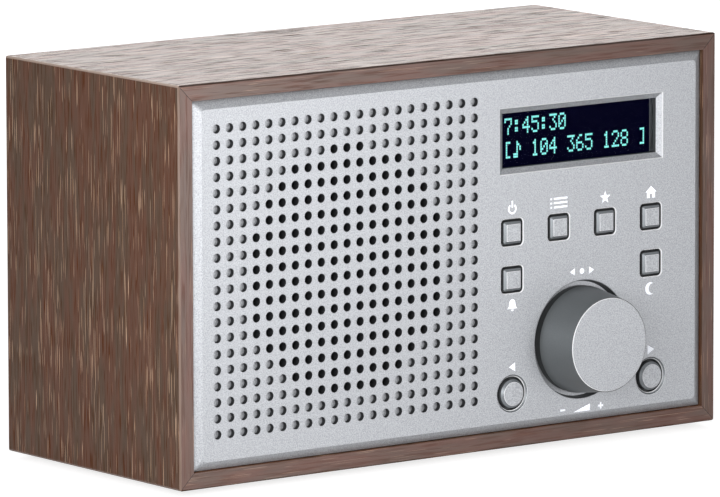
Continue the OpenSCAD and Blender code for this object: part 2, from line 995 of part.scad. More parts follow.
module display_glass() {
    color("#0a0c10")
        frame_filling(glass_y, backlight_y);
}

module display_backlight() {
    color("#d8dce0")
        frame_filling(backlight_y, lcd_board_y);
}

module display_board() {
    color(circuit_green)
        difference() {
            at_display()
                prism_y(lcd_board_y, lcd_board_y + pcb_t)
                    square([lcd_board_w, lcd_board_h], center = true);
            at_display_posts()
                rod_y(screw_clear_r, lcd_board_y - 1, lcd_board_y + pcb_t + 1);
        }
}

// A flat cable that bends from the display's board down to the control board
module display_cable() {
    y0 = lcd_board_y + pcb_t;
    y1 = control_y + pcb_t;
    out_y = max(y0, y1) + cable_bend;
    z0 = display_z - lcd_board_h / 2 + cable_bend;
    z1 = control_top_z - cable_bend;
    t = cable_t;
    color("#b8b8b0")
        prism_x(control_x - lcd_board_w / 4, control_x + lcd_board_w / 4)
            polygon([[y0, z0 + t], [out_y + t, z0 + t], [out_y + t, z1 - t], [y1, z1 - t], [y1, z1],
                [out_y, z1], [out_y, z0], [y0, z0]]);
}

// ---- Control board, switches and buttons ----

module control_board() {
    color(circuit_green)
        difference() {
            span([control_x - control_w / 2, control_y, control_base_z],
                [control_x + control_w / 2, control_y + pcb_t, control_top_z]);
            at_control_posts()
                rod_y(screw_clear_r, control_y - 1, control_y + pcb_t + 1);
        }
}

// The places of all eight buttons
module at_buttons() {
    for (column = [-outer_column, -inner_column, inner_column, outer_column])
        at_square(column, upper_z)
            children();
    for (column = [-outer_column, outer_column]) {
        at_square(column, lower_z)
            children();
        at_square(column, round_z)
            children();
    }
}

module push_switches() {
    color(black_plastic)
        at_buttons()
            difference() {
                prism_y(switch_y, control_y)
                    square(switch_w, center = true);
                rod_y(plunger_r + fit, switch_y - 1, switch_y + plunger_in + button_travel + 0.3);
            }
}

// All the screws that hold circuit boards
module board_screws() {
    color(steel) {
        at_display_posts()
            screw_forward(lcd_board_y + pcb_t, pcb_t + min(screw_grip, lcd_board_y - panel_back_y));
        at_control_posts()
            screw_forward(control_y + pcb_t, pcb_t + screw_grip);
        at_main_screws()
            translate([0, 0, main_top_z]) {
                cylinder(h = head_t, r = head_r);
                translate([0, 0, -pcb_t - spacer_h])
                    cylinder(h = pcb_t + spacer_h + eps, r = screw_r);
            }
    }
}

// What is behind every cap: a flange, a stem, and the switch's plunger as a solid of its own
module button_back(flange_half) {
    flange_y0 = panel_back_y + flange_gap;
    color(silver) {
        prism_y(flange_y0, flange_y0 + cap_flange_t)
            square(2 * flange_half, center = true);
        rod_y(stem_r, flange_y0, stem_end_y);
    }
    color(black_plastic)
        rod_y(plunger_r, plunger_y, switch_y + plunger_in);
}

module square_button(column, z) {
    at_square(column, z) {
        color(silver)
            intersection() {
                union() {
                    taper_y([cap_half - cap_slope, cap_half - cap_slope], [cap_half, cap_half],
                        cap_front_y, face_y);
                    prism_y(face_y, panel_back_y + flange_gap + 0.5)
                        square(2 * cap_half, center = true);
                }
                prism_y(cap_front_y - 1, control_y)
                    rounded(2 * cap_half, 2 * cap_half, cap_corner_r);
            }
        button_back(square_opening / 2 + cap_flange_lap);
    }
}

module round_button(column) {
    at_square(column, round_z) {
        color(silver)
            turned_y()
                polygon([[0, cap_front_y], [round_cap_r - cap_slope, cap_front_y],
                    [round_cap_r, face_y], [round_cap_r, panel_back_y + flange_gap + 0.5],
                    [0, panel_back_y + flange_gap + 0.5]]);
        button_back(round_opening / 2);
    }
}

module power_button() {
    square_button(-outer_column, upper_z);
}

module menu_button() {
    square_button(-inner_column, upper_z);
}

module favourite_button() {
    square_button(inner_column, upper_z);
}

module local_button() {
    square_button(outer_column, upper_z);
}

module alarm_button() {
    square_button(-outer_column, lower_z);
}

module sleep_button() {
    square_button(outer_column, lower_z);
}

module previous_button() {
    round_button(-outer_column);
}

module next_button() {
    round_button(outer_column);
}

// ---- Knob and encoder ----

module at_knob() {
    translate([control_x, 0, knob_z])
        children();
}

// The fixed housing with its bush, hollow for the rotor
module encoder_body() {
    color(steel)
        at_knob()
            difference() {
                union() {
                    prism_y(encoder_y, control_y)
                        square(encoder_w, center = true);
                    rod_y(bush_r, recess_floor_y, encoder_y + 0.5);
                }
                rod_y(shaft_r + fit, recess_floor_y - 1, shaft_end_y + knob_travel + 0.3);
                rod_y(rotor_r + fit, encoder_y + encoder_wall, rotor_back_y);
            }
}

module encoder_rotor() {
    gap = (rotor_room - rotor_t) / 2;
    color(brass)
        at_knob()
            ring_y(rotor_r, shaft_r + fit, encoder_y + encoder_wall + gap, rotor_back_y - gap);
}

module encoder_shaft() {
    color(steel)
        at_knob()
            rod_y(shaft_r, shaft_front_y, shaft_end_y);
}

// The knob: a moulded cup with a hub on the shaft
module knob() {
    cup_y = knob_front_y + knob_front_t;
    color(silver_side)
        at_knob()
            turned_y($fn = 96)
                polygon([[0, knob_front_y], [knob_r - knob_chamfer, knob_front_y],
                    [knob_r, knob_front_y + knob_chamfer], [knob_base_r, knob_back_y],
                    [knob_base_r - knob_shell, knob_back_y], [knob_r - knob_shell, cup_y], [hub_r, cup_y],
                    [hub_r, hub_back_y], [shaft_r + 0.02, hub_back_y], [shaft_r + 0.02, shaft_front_y],
                    [0, shaft_front_y]]);
}

// ---- Main board and sockets ----

module at_main_screws() {
    for (x = [main_x0 + main_screw_in, main_x0 + main_w - main_screw_in],
        y = [main_front_y + main_screw_in, main_back_y - main_screw_in])
        translate([x, y, 0])
            children();
}

module main_board() {
    color(circuit_green)
        difference() {
            span([main_x0, main_front_y, main_z], [main_x0 + main_w, main_back_y, main_top_z]);
            at_main_screws()
                translate([0, 0, main_z - 1])
                    cylinder(h = pcb_t + 2, r = screw_clear_r);
        }
}

module board_spacers() {
    color("#e8e6de")
        at_main_screws()
            difference() {
                translate([0, 0, inner_base_z])
                    cylinder(h = spacer_h, r = spacer_r);
                translate([0, 0, inner_base_z - 1])
                    cylinder(h = spacer_h + 2, r = screw_hole_r);
            }
}

// A screened can on the main board
module radio_module() {
    x0 = main_x0 + 0.4 * main_w;
    y0 = main_front_y + sink_d;
    color(chrome)
        span([x0, y0, main_top_z], [x0 + can_w, y0 + can_d, main_top_z + can_h]);
}

// A finned block on the amplifier
module heat_sink() {
    x0 = main_x0 + fin_h;
    y0 = main_front_y + sink_d;
    color(black_plastic) {
        span([x0, y0, main_top_z],
            [x0 + fin_pitch * (fins - 1) + fin_t, y0 + sink_d, main_top_z + 2 * fin_t]);
        for (i = [0 : fins - 1])
            span([x0 + i * fin_pitch, y0, main_top_z],
                [x0 + i * fin_pitch + fin_t, y0 + sink_d, main_top_z + fin_h]);
    }
}

module capacitors() {
    color("#23304a")
        for (i = [0 : 2])
            translate([main_x0 + main_w - 2 * big_capacitor_r,
                main_front_y + big_capacitor_h + 2 * i * (big_capacitor_r + clear), main_top_z])
                cylinder(h = i == 0 ? big_capacitor_h : capacitor_h,
                    r = i == 0 ? big_capacitor_r : capacitor_r);
}

// A socket on the main board: a block with a nozzle through the rear panel
module socket(x, nozzle_r, bore_r, depth) {
    translate([x, 0, socket_z])
        difference() {
            union() {
                prism_y(socket_front_y, rear_inner_y - clear)
                    square([socket_w, socket_h], center = true);
                rod_y(nozzle_r, rear_inner_y - 1, rear_outer_y);
            }
            rod_y(bore_r, rear_outer_y - depth, rear_outer_y + 1);
        }
}

module dc_socket() {
    color(black_plastic) {
        socket(dc_x, dc_nozzle_r, dc_bore / 2, dc_depth);
        translate([dc_x, 0, socket_z])
            rod_y(dc_pin_r, rear_outer_y - dc_depth - 1, rear_outer_y - 1);
    }
}

module headphone_socket() {
    color(black_plastic)
        socket(headphone_x, audio_nozzle_r, audio_bore / 2, audio_depth);
}

module line_socket() {
    color(black_plastic)
        socket(line_x, audio_nozzle_r, audio_bore / 2, audio_depth);
}

// A flat cable from the control board's back, bent down to the main board
module ribbon_cable() {
    y0 = control_y + pcb_t;
    z0 = main_top_z + ribbon_rise;
    y1 = main_front_y + main_screw_in + 1;
    x0 = main_x0 + main_screw_in + head_r + 2;
    t = cable_t;
    color("#b8b8b0")
        prism_x(x0, x0 + ribbon_w)
            polygon([[y0, z0 + t], [y1 + t, z0 + t], [y1 + t, main_top_z], [y1, main_top_z], [y1, z0],
                [y0, z0]]);
}

// ---- Aerial, folded along the rear ----

module at_aerial() {
    translate([aerial_x, 0, aerial_z])
        children();
}

module aerial_stud() {
    color(steel)
        at_aerial() {
            rod_y(head_r + 0.5, rear_inner_y - 2, rear_inner_y);
            rod_y(screw_r, rear_inner_y - 1, aerial_base_y + stud_in);
        }
}

// The swivel base: a disc with two cheeks that hold the pin
module aerial_base() {
    color(black_plastic)
        at_aerial()
            difference() {
                union() {
                    rod_y(aerial_base_r, aerial_base_y, aerial_deck_y);
                    for (s = [-1, 1])
                        translate([0, 0, s * (eye_half + clear + cheek_t / 2) - cheek_t / 2]) {
                            translate([0, aerial_y, 0])
                                cylinder(h = cheek_t, r = cheek_r);
                            span([-cheek_r, aerial_deck_y - 1, 0], [cheek_r, aerial_y, cheek_t]);
                        }
                }
                rod_y(screw_r + fit, aerial_base_y - 1, aerial_base_y + stud_in + 0.2);
                translate([0, aerial_y, -10])
                    cylinder(h = 20, r = pin_r + 0.02);
            }
}

module aerial_pin() {
    reach = eye_half + clear + cheek_t;
    color(chrome)
        at_aerial()
            translate([0, aerial_y, -reach])
                cylinder(h = 2 * reach, r = pin_r);
}

// The outer tube with the flat eye that turns on the pin
module aerial_outer() {
    color(chrome)
        translate([0, aerial_y, aerial_z])
            difference() {
                union() {
                    translate([aerial_x, 0, -eye_half])
                        cylinder(h = 2 * eye_half, r = eye_r);
                    span([tube_x - 1, -2, -eye_half], [aerial_x, 2, eye_half]);
                    rod_x(aerial_r, tube_end_x, tube_x);
                }
                translate([aerial_x, 0, -eye_half - 1])
                    cylinder(h = 2 * eye_half + 2, r = pin_r + fit);
                rod_x(middle_r + slip, tube_end_x - 1, tube_x - 1);
            }
}

module aerial_middle() {
    color(chrome)
        translate([0, aerial_y, aerial_z])
            difference() {
                rod_x(middle_r, tube_end_x - 1, tube_x - section_step);
                rod_x(tip_r + slip, tube_end_x - 2, tube_x - section_step - 1);
            }
}

module aerial_tip() {
    end_x = tube_end_x - 1 - clear;
    color(chrome)
        translate([0, aerial_y, aerial_z]) {
            rod_x(tip_r, end_x - 1, tube_x - 2 * section_step);
            rod_x(aerial_r, end_x - tip_cap_l, end_x);
        }
}

cabinet_top();
cabinet_bottom();
cabinet_left();
cabinet_right();
front_blocks();
rear_blocks();
feet();
front_panel();
front_panel_screws();
rear_panel();
rear_panel_screws();
speaker_gasket();
speaker_basket();
speaker_surround();
speaker_cone();
dust_cap();
speaker_spider();
voice_coil();
speaker_top_plate();
speaker_magnet();
speaker_yoke();
speaker_screws();
speaker_leads();
display_window();
display_frame();
display_glass();
display_backlight();
display_board();
display_cable();
control_board();
push_switches();
board_screws();
power_button();
menu_button();
favourite_button();
local_button();
alarm_button();
sleep_button();
previous_button();
next_button();
encoder_body();
encoder_rotor();
encoder_shaft();
knob();
main_board();
board_spacers();
radio_module();
heat_sink();
capacitors();
dc_socket();
headphone_socket();
line_socket();
ribbon_cable();
aerial_stud();
aerial_base();
aerial_pin();
aerial_outer();
aerial_middle();
aerial_tip();
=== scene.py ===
# %% [markdown]
# # Dressing a tabletop radio
#
# The shapes and sizes of this radio come from a CAD model, in which every
# board, button, screw and aerial section is its own part. Here Blender gives
# those parts their looks. Where the looks need a softer edge or a finer
# detail than the CAD part has, a new piece takes its place on screen, and the
# CAD part stays behind it for weight and collision, hidden.

# %% Load the CAD model
import math

import bmesh
import bpy
from mathutils import Matrix, Vector
from mathutils.geometry import delaunay_2d_cdt


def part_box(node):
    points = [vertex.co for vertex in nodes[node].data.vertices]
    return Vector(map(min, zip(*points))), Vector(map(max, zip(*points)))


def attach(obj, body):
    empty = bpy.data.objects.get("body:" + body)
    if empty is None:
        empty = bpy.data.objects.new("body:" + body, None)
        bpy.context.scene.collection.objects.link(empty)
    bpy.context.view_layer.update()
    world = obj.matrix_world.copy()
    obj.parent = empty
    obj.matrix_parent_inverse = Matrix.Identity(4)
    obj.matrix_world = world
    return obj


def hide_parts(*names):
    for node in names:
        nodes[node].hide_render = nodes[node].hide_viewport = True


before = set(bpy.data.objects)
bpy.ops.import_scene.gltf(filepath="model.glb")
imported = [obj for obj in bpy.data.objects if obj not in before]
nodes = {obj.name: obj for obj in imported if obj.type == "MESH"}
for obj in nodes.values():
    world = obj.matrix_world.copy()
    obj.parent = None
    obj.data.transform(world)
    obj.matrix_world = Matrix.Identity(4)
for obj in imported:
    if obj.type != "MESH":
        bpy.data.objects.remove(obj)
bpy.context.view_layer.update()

# %% [markdown]
# ## Millimetres
#
# Blender works in metres, but a radio is drawn in millimetres. The scene
# could be scaled up to suit, but then it would no longer fit the CAD parts.
# So the sizes below are plain millimetres, and they turn into metres only
# when a mesh or a pattern is made.

# %% Boxes of CAD parts in millimetres
MM = 0.001


def box_mm(name):
    """The lowest and the highest corner of a CAD part."""
    low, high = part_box(name)
    return low / MM, high / MM


def centre_mm(name):
    """The middle of a CAD part."""
    low, high = box_mm(name)
    return (low + high) / 2


panel_low, panel_high = box_mm("front_panel")
FACE_Y = panel_low.y
print("the panel's face is at y =", round(FACE_Y, 2), "mm")

# %% [markdown]
# ## The camera
#
# The camera stands to the left of the radio and a little above it. A short
# lens close by would make the near corner bulge. A long lens from a few
# metres away keeps the box's edges almost parallel, so its proportions read
# true.

# %% Camera
AZIMUTH, ELEVATION, ROLL = (math.radians(a) for a in (-37.1087, 8.6520, -0.1174))
TARGET = Vector((-0.0551, -0.0706, 0.0758))
DISTANCE = 2.6421
LENS, SENSOR = 430.5, 36  # mm

back = Vector((math.sin(AZIMUTH) * math.cos(ELEVATION),
               -math.cos(AZIMUTH) * math.cos(ELEVATION), math.sin(ELEVATION)))
right = Vector((math.cos(AZIMUTH), math.sin(AZIMUTH), 0))
axes = Matrix((right, back.cross(right), back)).transposed()
camera_data = bpy.data.cameras.new("camera")
camera_data.lens = LENS
camera_data.sensor_width = SENSOR
camera = bpy.data.objects.new("camera", camera_data)
camera.matrix_world = (Matrix.Translation(TARGET + DISTANCE * back)
                       @ (axes @ Matrix.Rotation(ROLL, 3, "Z")).to_4x4())
bpy.context.scene.collection.objects.link(camera)
bpy.context.scene.camera = camera
bpy.context.scene.view_settings.view_transform = "Standard"
print("camera at", [round(c, 3) for c in camera.matrix_world.translation])

# %% [markdown]
# ## Three helpers for materials
#
# Colours are written as the hex values that a paint chart or a colour picker
# shows. Blender's shaders count light, so one function turns them linear.
# Another starts a material. The third adds a node, sets it up and links it in
# one line, so that a material reads as a list of steps.

# %% Colour, material and node helpers


def linear(hex_colour, gain=1.0):
    """The linear colour of an sRGB hex value, made lighter or darker by a gain."""
    parts = [int(hex_colour[i:i + 2], 16) / 255 for i in (1, 3, 5)]
    return (*[gain * (p / 12.92 if p <= 0.04045 else ((p + 0.055) / 1.055) ** 2.4)
              for p in parts], 1.0)


def new_material(name):
    """A material, its node tree and its main shader."""
    material = bpy.data.materials.new(name)
    material.use_nodes = True
    return material, material.node_tree, material.node_tree.nodes["Principled BSDF"]


def add_node(tree, kind, inputs=None, **settings):
    """A node with its settings. An input is a value, or the output that is linked to it."""
    node = tree.nodes.new(kind)
    for name, value in settings.items():
        setattr(node, name, value)
    for socket, value in (inputs or {}).items():
        if isinstance(value, bpy.types.NodeSocket):
            tree.links.new(value, node.inputs[socket])
        else:
            node.inputs[socket].default_value = value
    return node


print("mid grey is", round(linear("#808080")[0], 3), "in linear light")

# %% [markdown]
# ## The studio
#
# The radio stands on a white floor in white surroundings, so its paint and
# its metal reflect white too. A map of a real studio could light it, but a
# few plain lamps show what each one does. The surroundings look pure white,
# and yet they light the radio only faintly. A Light Path node makes that
# possible, because it tells rays that look at them from rays that gather
# their light. So a colour renders about as it is written.

# %% White surroundings
WHITE = (1.0, 1.0, 1.0, 1.0)
AMBIENT = 0.28
COOLNESS = 1.02  # daylight has a little more blue


def seen_as_background(tree):
    """1 where the ray comes from the camera, a glossy surface or glass."""
    path = add_node(tree, "ShaderNodeLightPath")
    seen = add_node(tree, "ShaderNodeMath", {0: path.outputs["Is Camera Ray"],
                                             1: path.outputs["Is Glossy Ray"]}, operation="MAXIMUM")
    return add_node(tree, "ShaderNodeMath", {0: seen.outputs[0],
                                             1: path.outputs["Is Transmission Ray"]},
                    operation="MAXIMUM").outputs[0]


world = bpy.data.worlds.new("white_studio")
bpy.context.scene.world = world
world.use_nodes = True
tree = world.node_tree
tree.nodes.clear()
plain = add_node(tree, "ShaderNodeBackground", {"Color": (AMBIENT, AMBIENT, AMBIENT * COOLNESS, 1)})
white = add_node(tree, "ShaderNodeBackground", {"Color": WHITE})
mixed = add_node(tree, "ShaderNodeMixShader", {0: seen_as_background(tree), 1: plain.outputs[0],
                                               2: white.outputs[0]})
add_node(tree, "ShaderNodeOutputWorld", {"Surface": mixed.outputs[0]})
print("ambient light", AMBIENT)

# %% Floor of matt white paper


def flat_square(name, size, material):
    """A square sheet in the middle of the scene, of a size in metres."""
    mesh = bpy.data.meshes.new(name)
    mesh.from_pydata([(x * size / 2, y * size / 2, 0) for x, y in
                      [(-1, -1), (1, -1), (1, 1), (-1, 1)]], [], [(0, 1, 2, 3)])
    mesh.materials.append(material)
    square = bpy.data.objects.new(name, mesh)
    bpy.context.scene.collection.objects.link(square)
    print(name, size, "m wide")
    return square


FLOOR_SIZE = 12.0  # m
FLOOR_GLOW = 0.78  # lifts the floor to white, and leaves the radio's shadow
PAPER_GRAIN = 1.111  # mm, coarser than in real paper
PAPER_SHADE = (0.53, 0.57)

floor_paper, tree, shader = new_material("white_paper_floor")
grain = add_node(tree, "ShaderNodeTexNoise", {"Scale": 1 / (PAPER_GRAIN * MM)})
shade = add_node(tree, "ShaderNodeMapRange", {0: grain.outputs[0], 3: PAPER_SHADE[0],
                                              4: PAPER_SHADE[1]})
glow = add_node(tree, "ShaderNodeMath", {0: seen_as_background(tree), 1: FLOOR_GLOW},
                operation="MULTIPLY")
tree.links.new(shade.outputs[0], shader.inputs["Base Color"])
tree.links.new(glow.outputs[0], shader.inputs["Emission Strength"])
shader.inputs["Emission Color"].default_value = WHITE
shader.inputs["Roughness"].default_value = 0.9
shader.inputs["Specular IOR Level"].default_value = 0.0
floor = flat_square("floor", FLOOR_SIZE, floor_paper)

# %% [markdown]
# ## Lamps and cards
#
# A soft key lamp close to the front left brightens the left edges and fades
# along the front. A larger one high behind the radio lights its top. The
# third is seen only in gloss, and lays a sheen on the metal paint. Two black
# cards stand where only gloss can see them as well. Without them the dark
# veneer and the knob would mirror white all round, and turn pale and flat.

# %% Lamps
LAMPS = {  # place, width, height and power of each soft lamp; all face the radio
    "key": ((-0.475, -0.455, 0.16), 0.45, 0.22, 4.1),
    "back": ((1.0, 1.35, 1.05), 1.2, 1.2, 14.7),
    "sheen": ((0.15, -0.55, 0.085), 0.3, 0.15, 1.7),
}
GLOSS_ONLY = ["sheen"]
MIDDLE = Vector((0, 0, 0.065))  # of the radio, in metres


def facing_radio(place):
    """The matrix of a lamp or card that stands at a place and faces the radio."""
    turn = (Vector(place) - MIDDLE).to_track_quat("Z", "Y")
    return Matrix.Translation(place) @ turn.to_matrix().to_4x4()


for name, (place, width, height, power) in LAMPS.items():
    data = bpy.data.lights.new(name, "AREA")
    data.shape = "RECTANGLE"
    data.size, data.size_y = width, height
    data.energy = power
    lamp = bpy.data.objects.new(name, data)
    lamp.matrix_world = facing_radio(place)
    lamp.visible_camera = False
    lamp.visible_diffuse = name not in GLOSS_ONLY
    bpy.context.scene.collection.objects.link(lamp)
    print("lamp", name, power, "W")

# %% Black cards that only gloss can see
CARDS = {  # place and size of each square card; all face the radio
    "left": ((-2.2, 1.4, 0.6), 2.4),
    "right": ((2.2, 0.15, 0.3), 2.6),
}
CARD_TOOTH = 2.5  # mm
CARD_SHADE = (0.004, 0.006)

black_card, tree, shader = new_material("black_card")
tooth = add_node(tree, "ShaderNodeTexNoise", {"Scale": 1 / (CARD_TOOTH * MM)})
shade = add_node(tree, "ShaderNodeMapRange", {0: tooth.outputs[0], 3: CARD_SHADE[0],
                                              4: CARD_SHADE[1]})
tree.links.new(shade.outputs[0], shader.inputs["Base Color"])
for name, (place, size) in CARDS.items():
    card = flat_square(name + "_card", size, black_card)
    card.matrix_world = facing_radio(place)
    card.visible_camera = card.visible_diffuse = card.visible_shadow = False

# %% [markdown]
# ## A recipe for painted and moulded surfaces
#
# Paint, plastic, rubber and plated steel could each have nodes of their own.
# They share one recipe here, because the eye reads the same three things on
# all of them: a colour that wavers a little in grains of a real size, a gloss
# that wavers with it, and a very low bump. Only the numbers differ. Values
# that are the same all over are set straight on the shader's own sockets.

# %% Grained finishes
NOISE_SPAN = (0.3, 0.7)  # nearly all of a noise pattern lies between these two
NOISE_DETAIL = 3.0
GLOSS_WAVER = 0.1
BUMP_STRENGTH = 0.6


def grained(name, colour, roughness, grain, contrast=0.08, bump=0.02, stretch=(1, 1, 1), **sockets):
    """A finish with grains of a size and a bump of a height, both in mm."""
    material, tree, shader = new_material(name)
    for socket, value in sockets.items():
        shader.inputs[socket.replace("_", " ")].default_value = value
    place = add_node(tree, "ShaderNodeTexCoord")
    mapped = add_node(tree, "ShaderNodeMapping", {"Vector": place.outputs["Object"],
                                                  "Scale": [s / (grain * MM) for s in stretch]})
    noise = add_node(tree, "ShaderNodeTexNoise", {"Vector": mapped.outputs[0], "Scale": 1.0,
                                                  "Detail": NOISE_DETAIL})
    from_low, from_high = NOISE_SPAN
    spread = add_node(tree, "ShaderNodeMapRange", {0: noise.outputs[0], 1: from_low, 2: from_high})
    low, high = (linear(colour, 1 + side * contrast) for side in (-1, 1))
    tint = add_node(tree, "ShaderNodeMix", {0: spread.outputs[0], 6: low, 7: high},
                    data_type="RGBA")
    gloss = add_node(tree, "ShaderNodeMapRange", {0: noise.outputs[0], 1: from_low, 2: from_high,
                                                  3: (1 - GLOSS_WAVER) * roughness,
                                                  4: (1 + GLOSS_WAVER) * roughness})
    relief = add_node(tree, "ShaderNodeBump", {"Height": noise.outputs[0],
                                               "Strength": BUMP_STRENGTH, "Distance": bump * MM})
    tree.links.new(tint.outputs[2], shader.inputs["Base Color"])
    tree.links.new(gloss.outputs[0], shader.inputs["Roughness"])
    tree.links.new(relief.outputs[0], shader.inputs["Normal"])
    return material


def dress(material, *names):
    """Give a material to whole CAD parts."""
    for name in names:
        for place in nodes[name].material_slots:
            place.material = material
    print(material.name, "on", ", ".join(names))


print("a finish wavers by", round(100 * GLOSS_WAVER), "percent in its gloss")

# %% [markdown]
# ## Walnut veneer
#
# The box is chipboard wrapped in a thin sheet of dark stained walnut, with a
# thin coat of matt varnish. A scan of real veneer would be the usual way.
# Here the figure is built from noise, because that needs no image and lets
# the grain stand upright on the sides and lie along the top. The eye sees
# four things: broad patches of grey and red brown, soft fibres, open pores
# that show as fine pale streaks in loose clusters, and short dips where the
# varnish sank in. Each is one noise pattern, stretched along the grain.

# %% Streaks along the grain
STREAKS = {  # width and length in mm, levels to cut between, detail, and a shift
    "patches": (3.5, 26, 0.4, 0.6, 2.0, 0.0),
    "fibres": (0.4, 20, 0.3, 0.7, 3.0, 3.0),  # real ones are far finer and would not show
    "clusters": (5, 60, 0.35, 0.65, 1.0, 7.0),
    "pores": (0.22, 14, 0.0, 1.0, 0.0, 19.0),  # twice as wide as real ones, so that they show
    "dips": (0.4, 12, 0.54, 0.62, 1.0, 31.0),
}


def streaks(tree, grain_axis, pattern):
    """Noise that is stretched along the grain and cut between two levels."""
    across, along, low, high, detail, shift = STREAKS[pattern]
    scale = [1 / (across * MM)] * 3
    scale[grain_axis] = 1 / (along * MM)
    place = add_node(tree, "ShaderNodeTexCoord")
    mapped = add_node(tree, "ShaderNodeMapping", {"Vector": place.outputs["Object"],
                                                  "Location": [shift] * 3, "Scale": scale})
    noise = add_node(tree, "ShaderNodeTexNoise", {"Vector": mapped.outputs[0], "Scale": 1.0,
                                                  "Detail": detail})
    return add_node(tree, "ShaderNodeMapRange", {0: noise.outputs[0], 1: low, 2: high}).outputs[0]


print("streak patterns:", ", ".join(STREAKS))

# %% [markdown]
# ## One sheet, several kinds of face
#
# The same veneer looks different on each face of the box. Its top carries a
# painted reflection of the white surroundings: its colour is lifted where the
# varnish stands, and lowered in the dips. The front edges of the boards carry a
# painted sheen that makes them paler, and have fewer open pores. The corners are
# cut to narrow chamfers: dark where they look up, and with a painted highlight
# down the sides that is palest where the top meets the sides. Masks could be
# painted by hand, but the direction that a face points in already tells these apart.

# %% Which way a face points
FLAT = 0.9  # a face is flat if this much of its normal is on an axis
CHAMFER, CHAMFER_REACH = 0.6, 0.35  # and a chamfer if this much is, give or take the reach


def face_masks(tree):
    """1 on front edges, on the top, on lying and on upright chamfers, and how far a face looks up."""
    shape = add_node(tree, "ShaderNodeNewGeometry")
    way = add_node(tree, "ShaderNodeSeparateXYZ", {0: shape.outputs["True Normal"]})
    sideways, inwards, up = way.outputs
    aside = add_node(tree, "ShaderNodeMath", {0: sideways}, operation="ABSOLUTE").outputs[0]
    tests = [("LESS_THAN", {0: inwards, 1: -FLAT}),
             ("GREATER_THAN", {0: up, 1: FLAT}),
             ("COMPARE", {0: up, 1: CHAMFER, 2: CHAMFER_REACH}),
             ("COMPARE", {0: aside, 1: CHAMFER, 2: CHAMFER_REACH})]
    return *(add_node(tree, "ShaderNodeMath", inputs, operation=test).outputs[0]
             for test, inputs in tests), up


print("a chamfer's normal has", round(CHAMFER - CHAMFER_REACH, 2), "to",
      round(CHAMFER + CHAMFER_REACH, 2), "along an axis")

# %% Open pores
PORE_LEVELS = (0.79, 0.69)  # what the pore noise has to reach, outside and in clusters
PORE_EDGE = 0.03  # how much further it takes a pore to reach its full strength
PORE_STRENGTH = (1.0, 0.35)  # on the sides, and on the smoother top and front edges


def open_pores(tree, lines, clusters, smoother):
    """Fine lines, where the pore noise rises over a level that the clusters lower."""
    level = add_node(tree, "ShaderNodeMapRange", {0: clusters, 3: PORE_LEVELS[0],
                                                  4: PORE_LEVELS[1]})
    over = add_node(tree, "ShaderNodeMath", {0: lines, 1: level.outputs[0]}, operation="SUBTRACT")
    most = add_node(tree, "ShaderNodeMapRange", {0: smoother, 3: PORE_STRENGTH[0],
                                                 4: PORE_STRENGTH[1]})
    return add_node(tree, "ShaderNodeMapRange", {0: over.outputs[0], 1: 0.0, 2: PORE_EDGE,
                                                 4: most.outputs[0]}).outputs[0]


print("pores keep", PORE_STRENGTH[1], "of their strength on the top")

# %% Stained and varnished walnut
GREY_BROWN, RED_BROWN = linear("#554031"), linear("#5e3c2b")
BETWEEN_FIBRES, OPEN_PORE = linear("#e2dcd8"), linear("#cba98c")
PAINTED_FRONT_SHEEN = linear("#4d4546")  # painted sheen, added to the colour of the front edges
PAINTED_TOP_SHEEN, PAINTED_TOP_SHEEN_IN_DIPS = (2.5, 2.5, 2.55, 1.0), (0.6, 0.6, 0.6, 1.0)  # painted sheen: times the colour of the top, where the varnish stands and in the dips
LYING_CHAMFER = linear("#3f2e26")
# painted highlight on the side chamfers, palest where the top meets the sides
SIDE_CHAMFER_HIGHLIGHT, TOP_CORNER_HIGHLIGHT = linear("#7a665b"), linear("#c0aa9c")
VENEER_ROUGHNESS = (0.32, 0.42)  # between the fibres and on them
VENEER_SHEEN = (0.2, 0.0)  # on the varnish and in the dips
VENEER_RELIEF, PORE_DEPTH = 0.35, 0.05  # the bump's strength, and its height in mm
VARNISH_IOR = 1.5


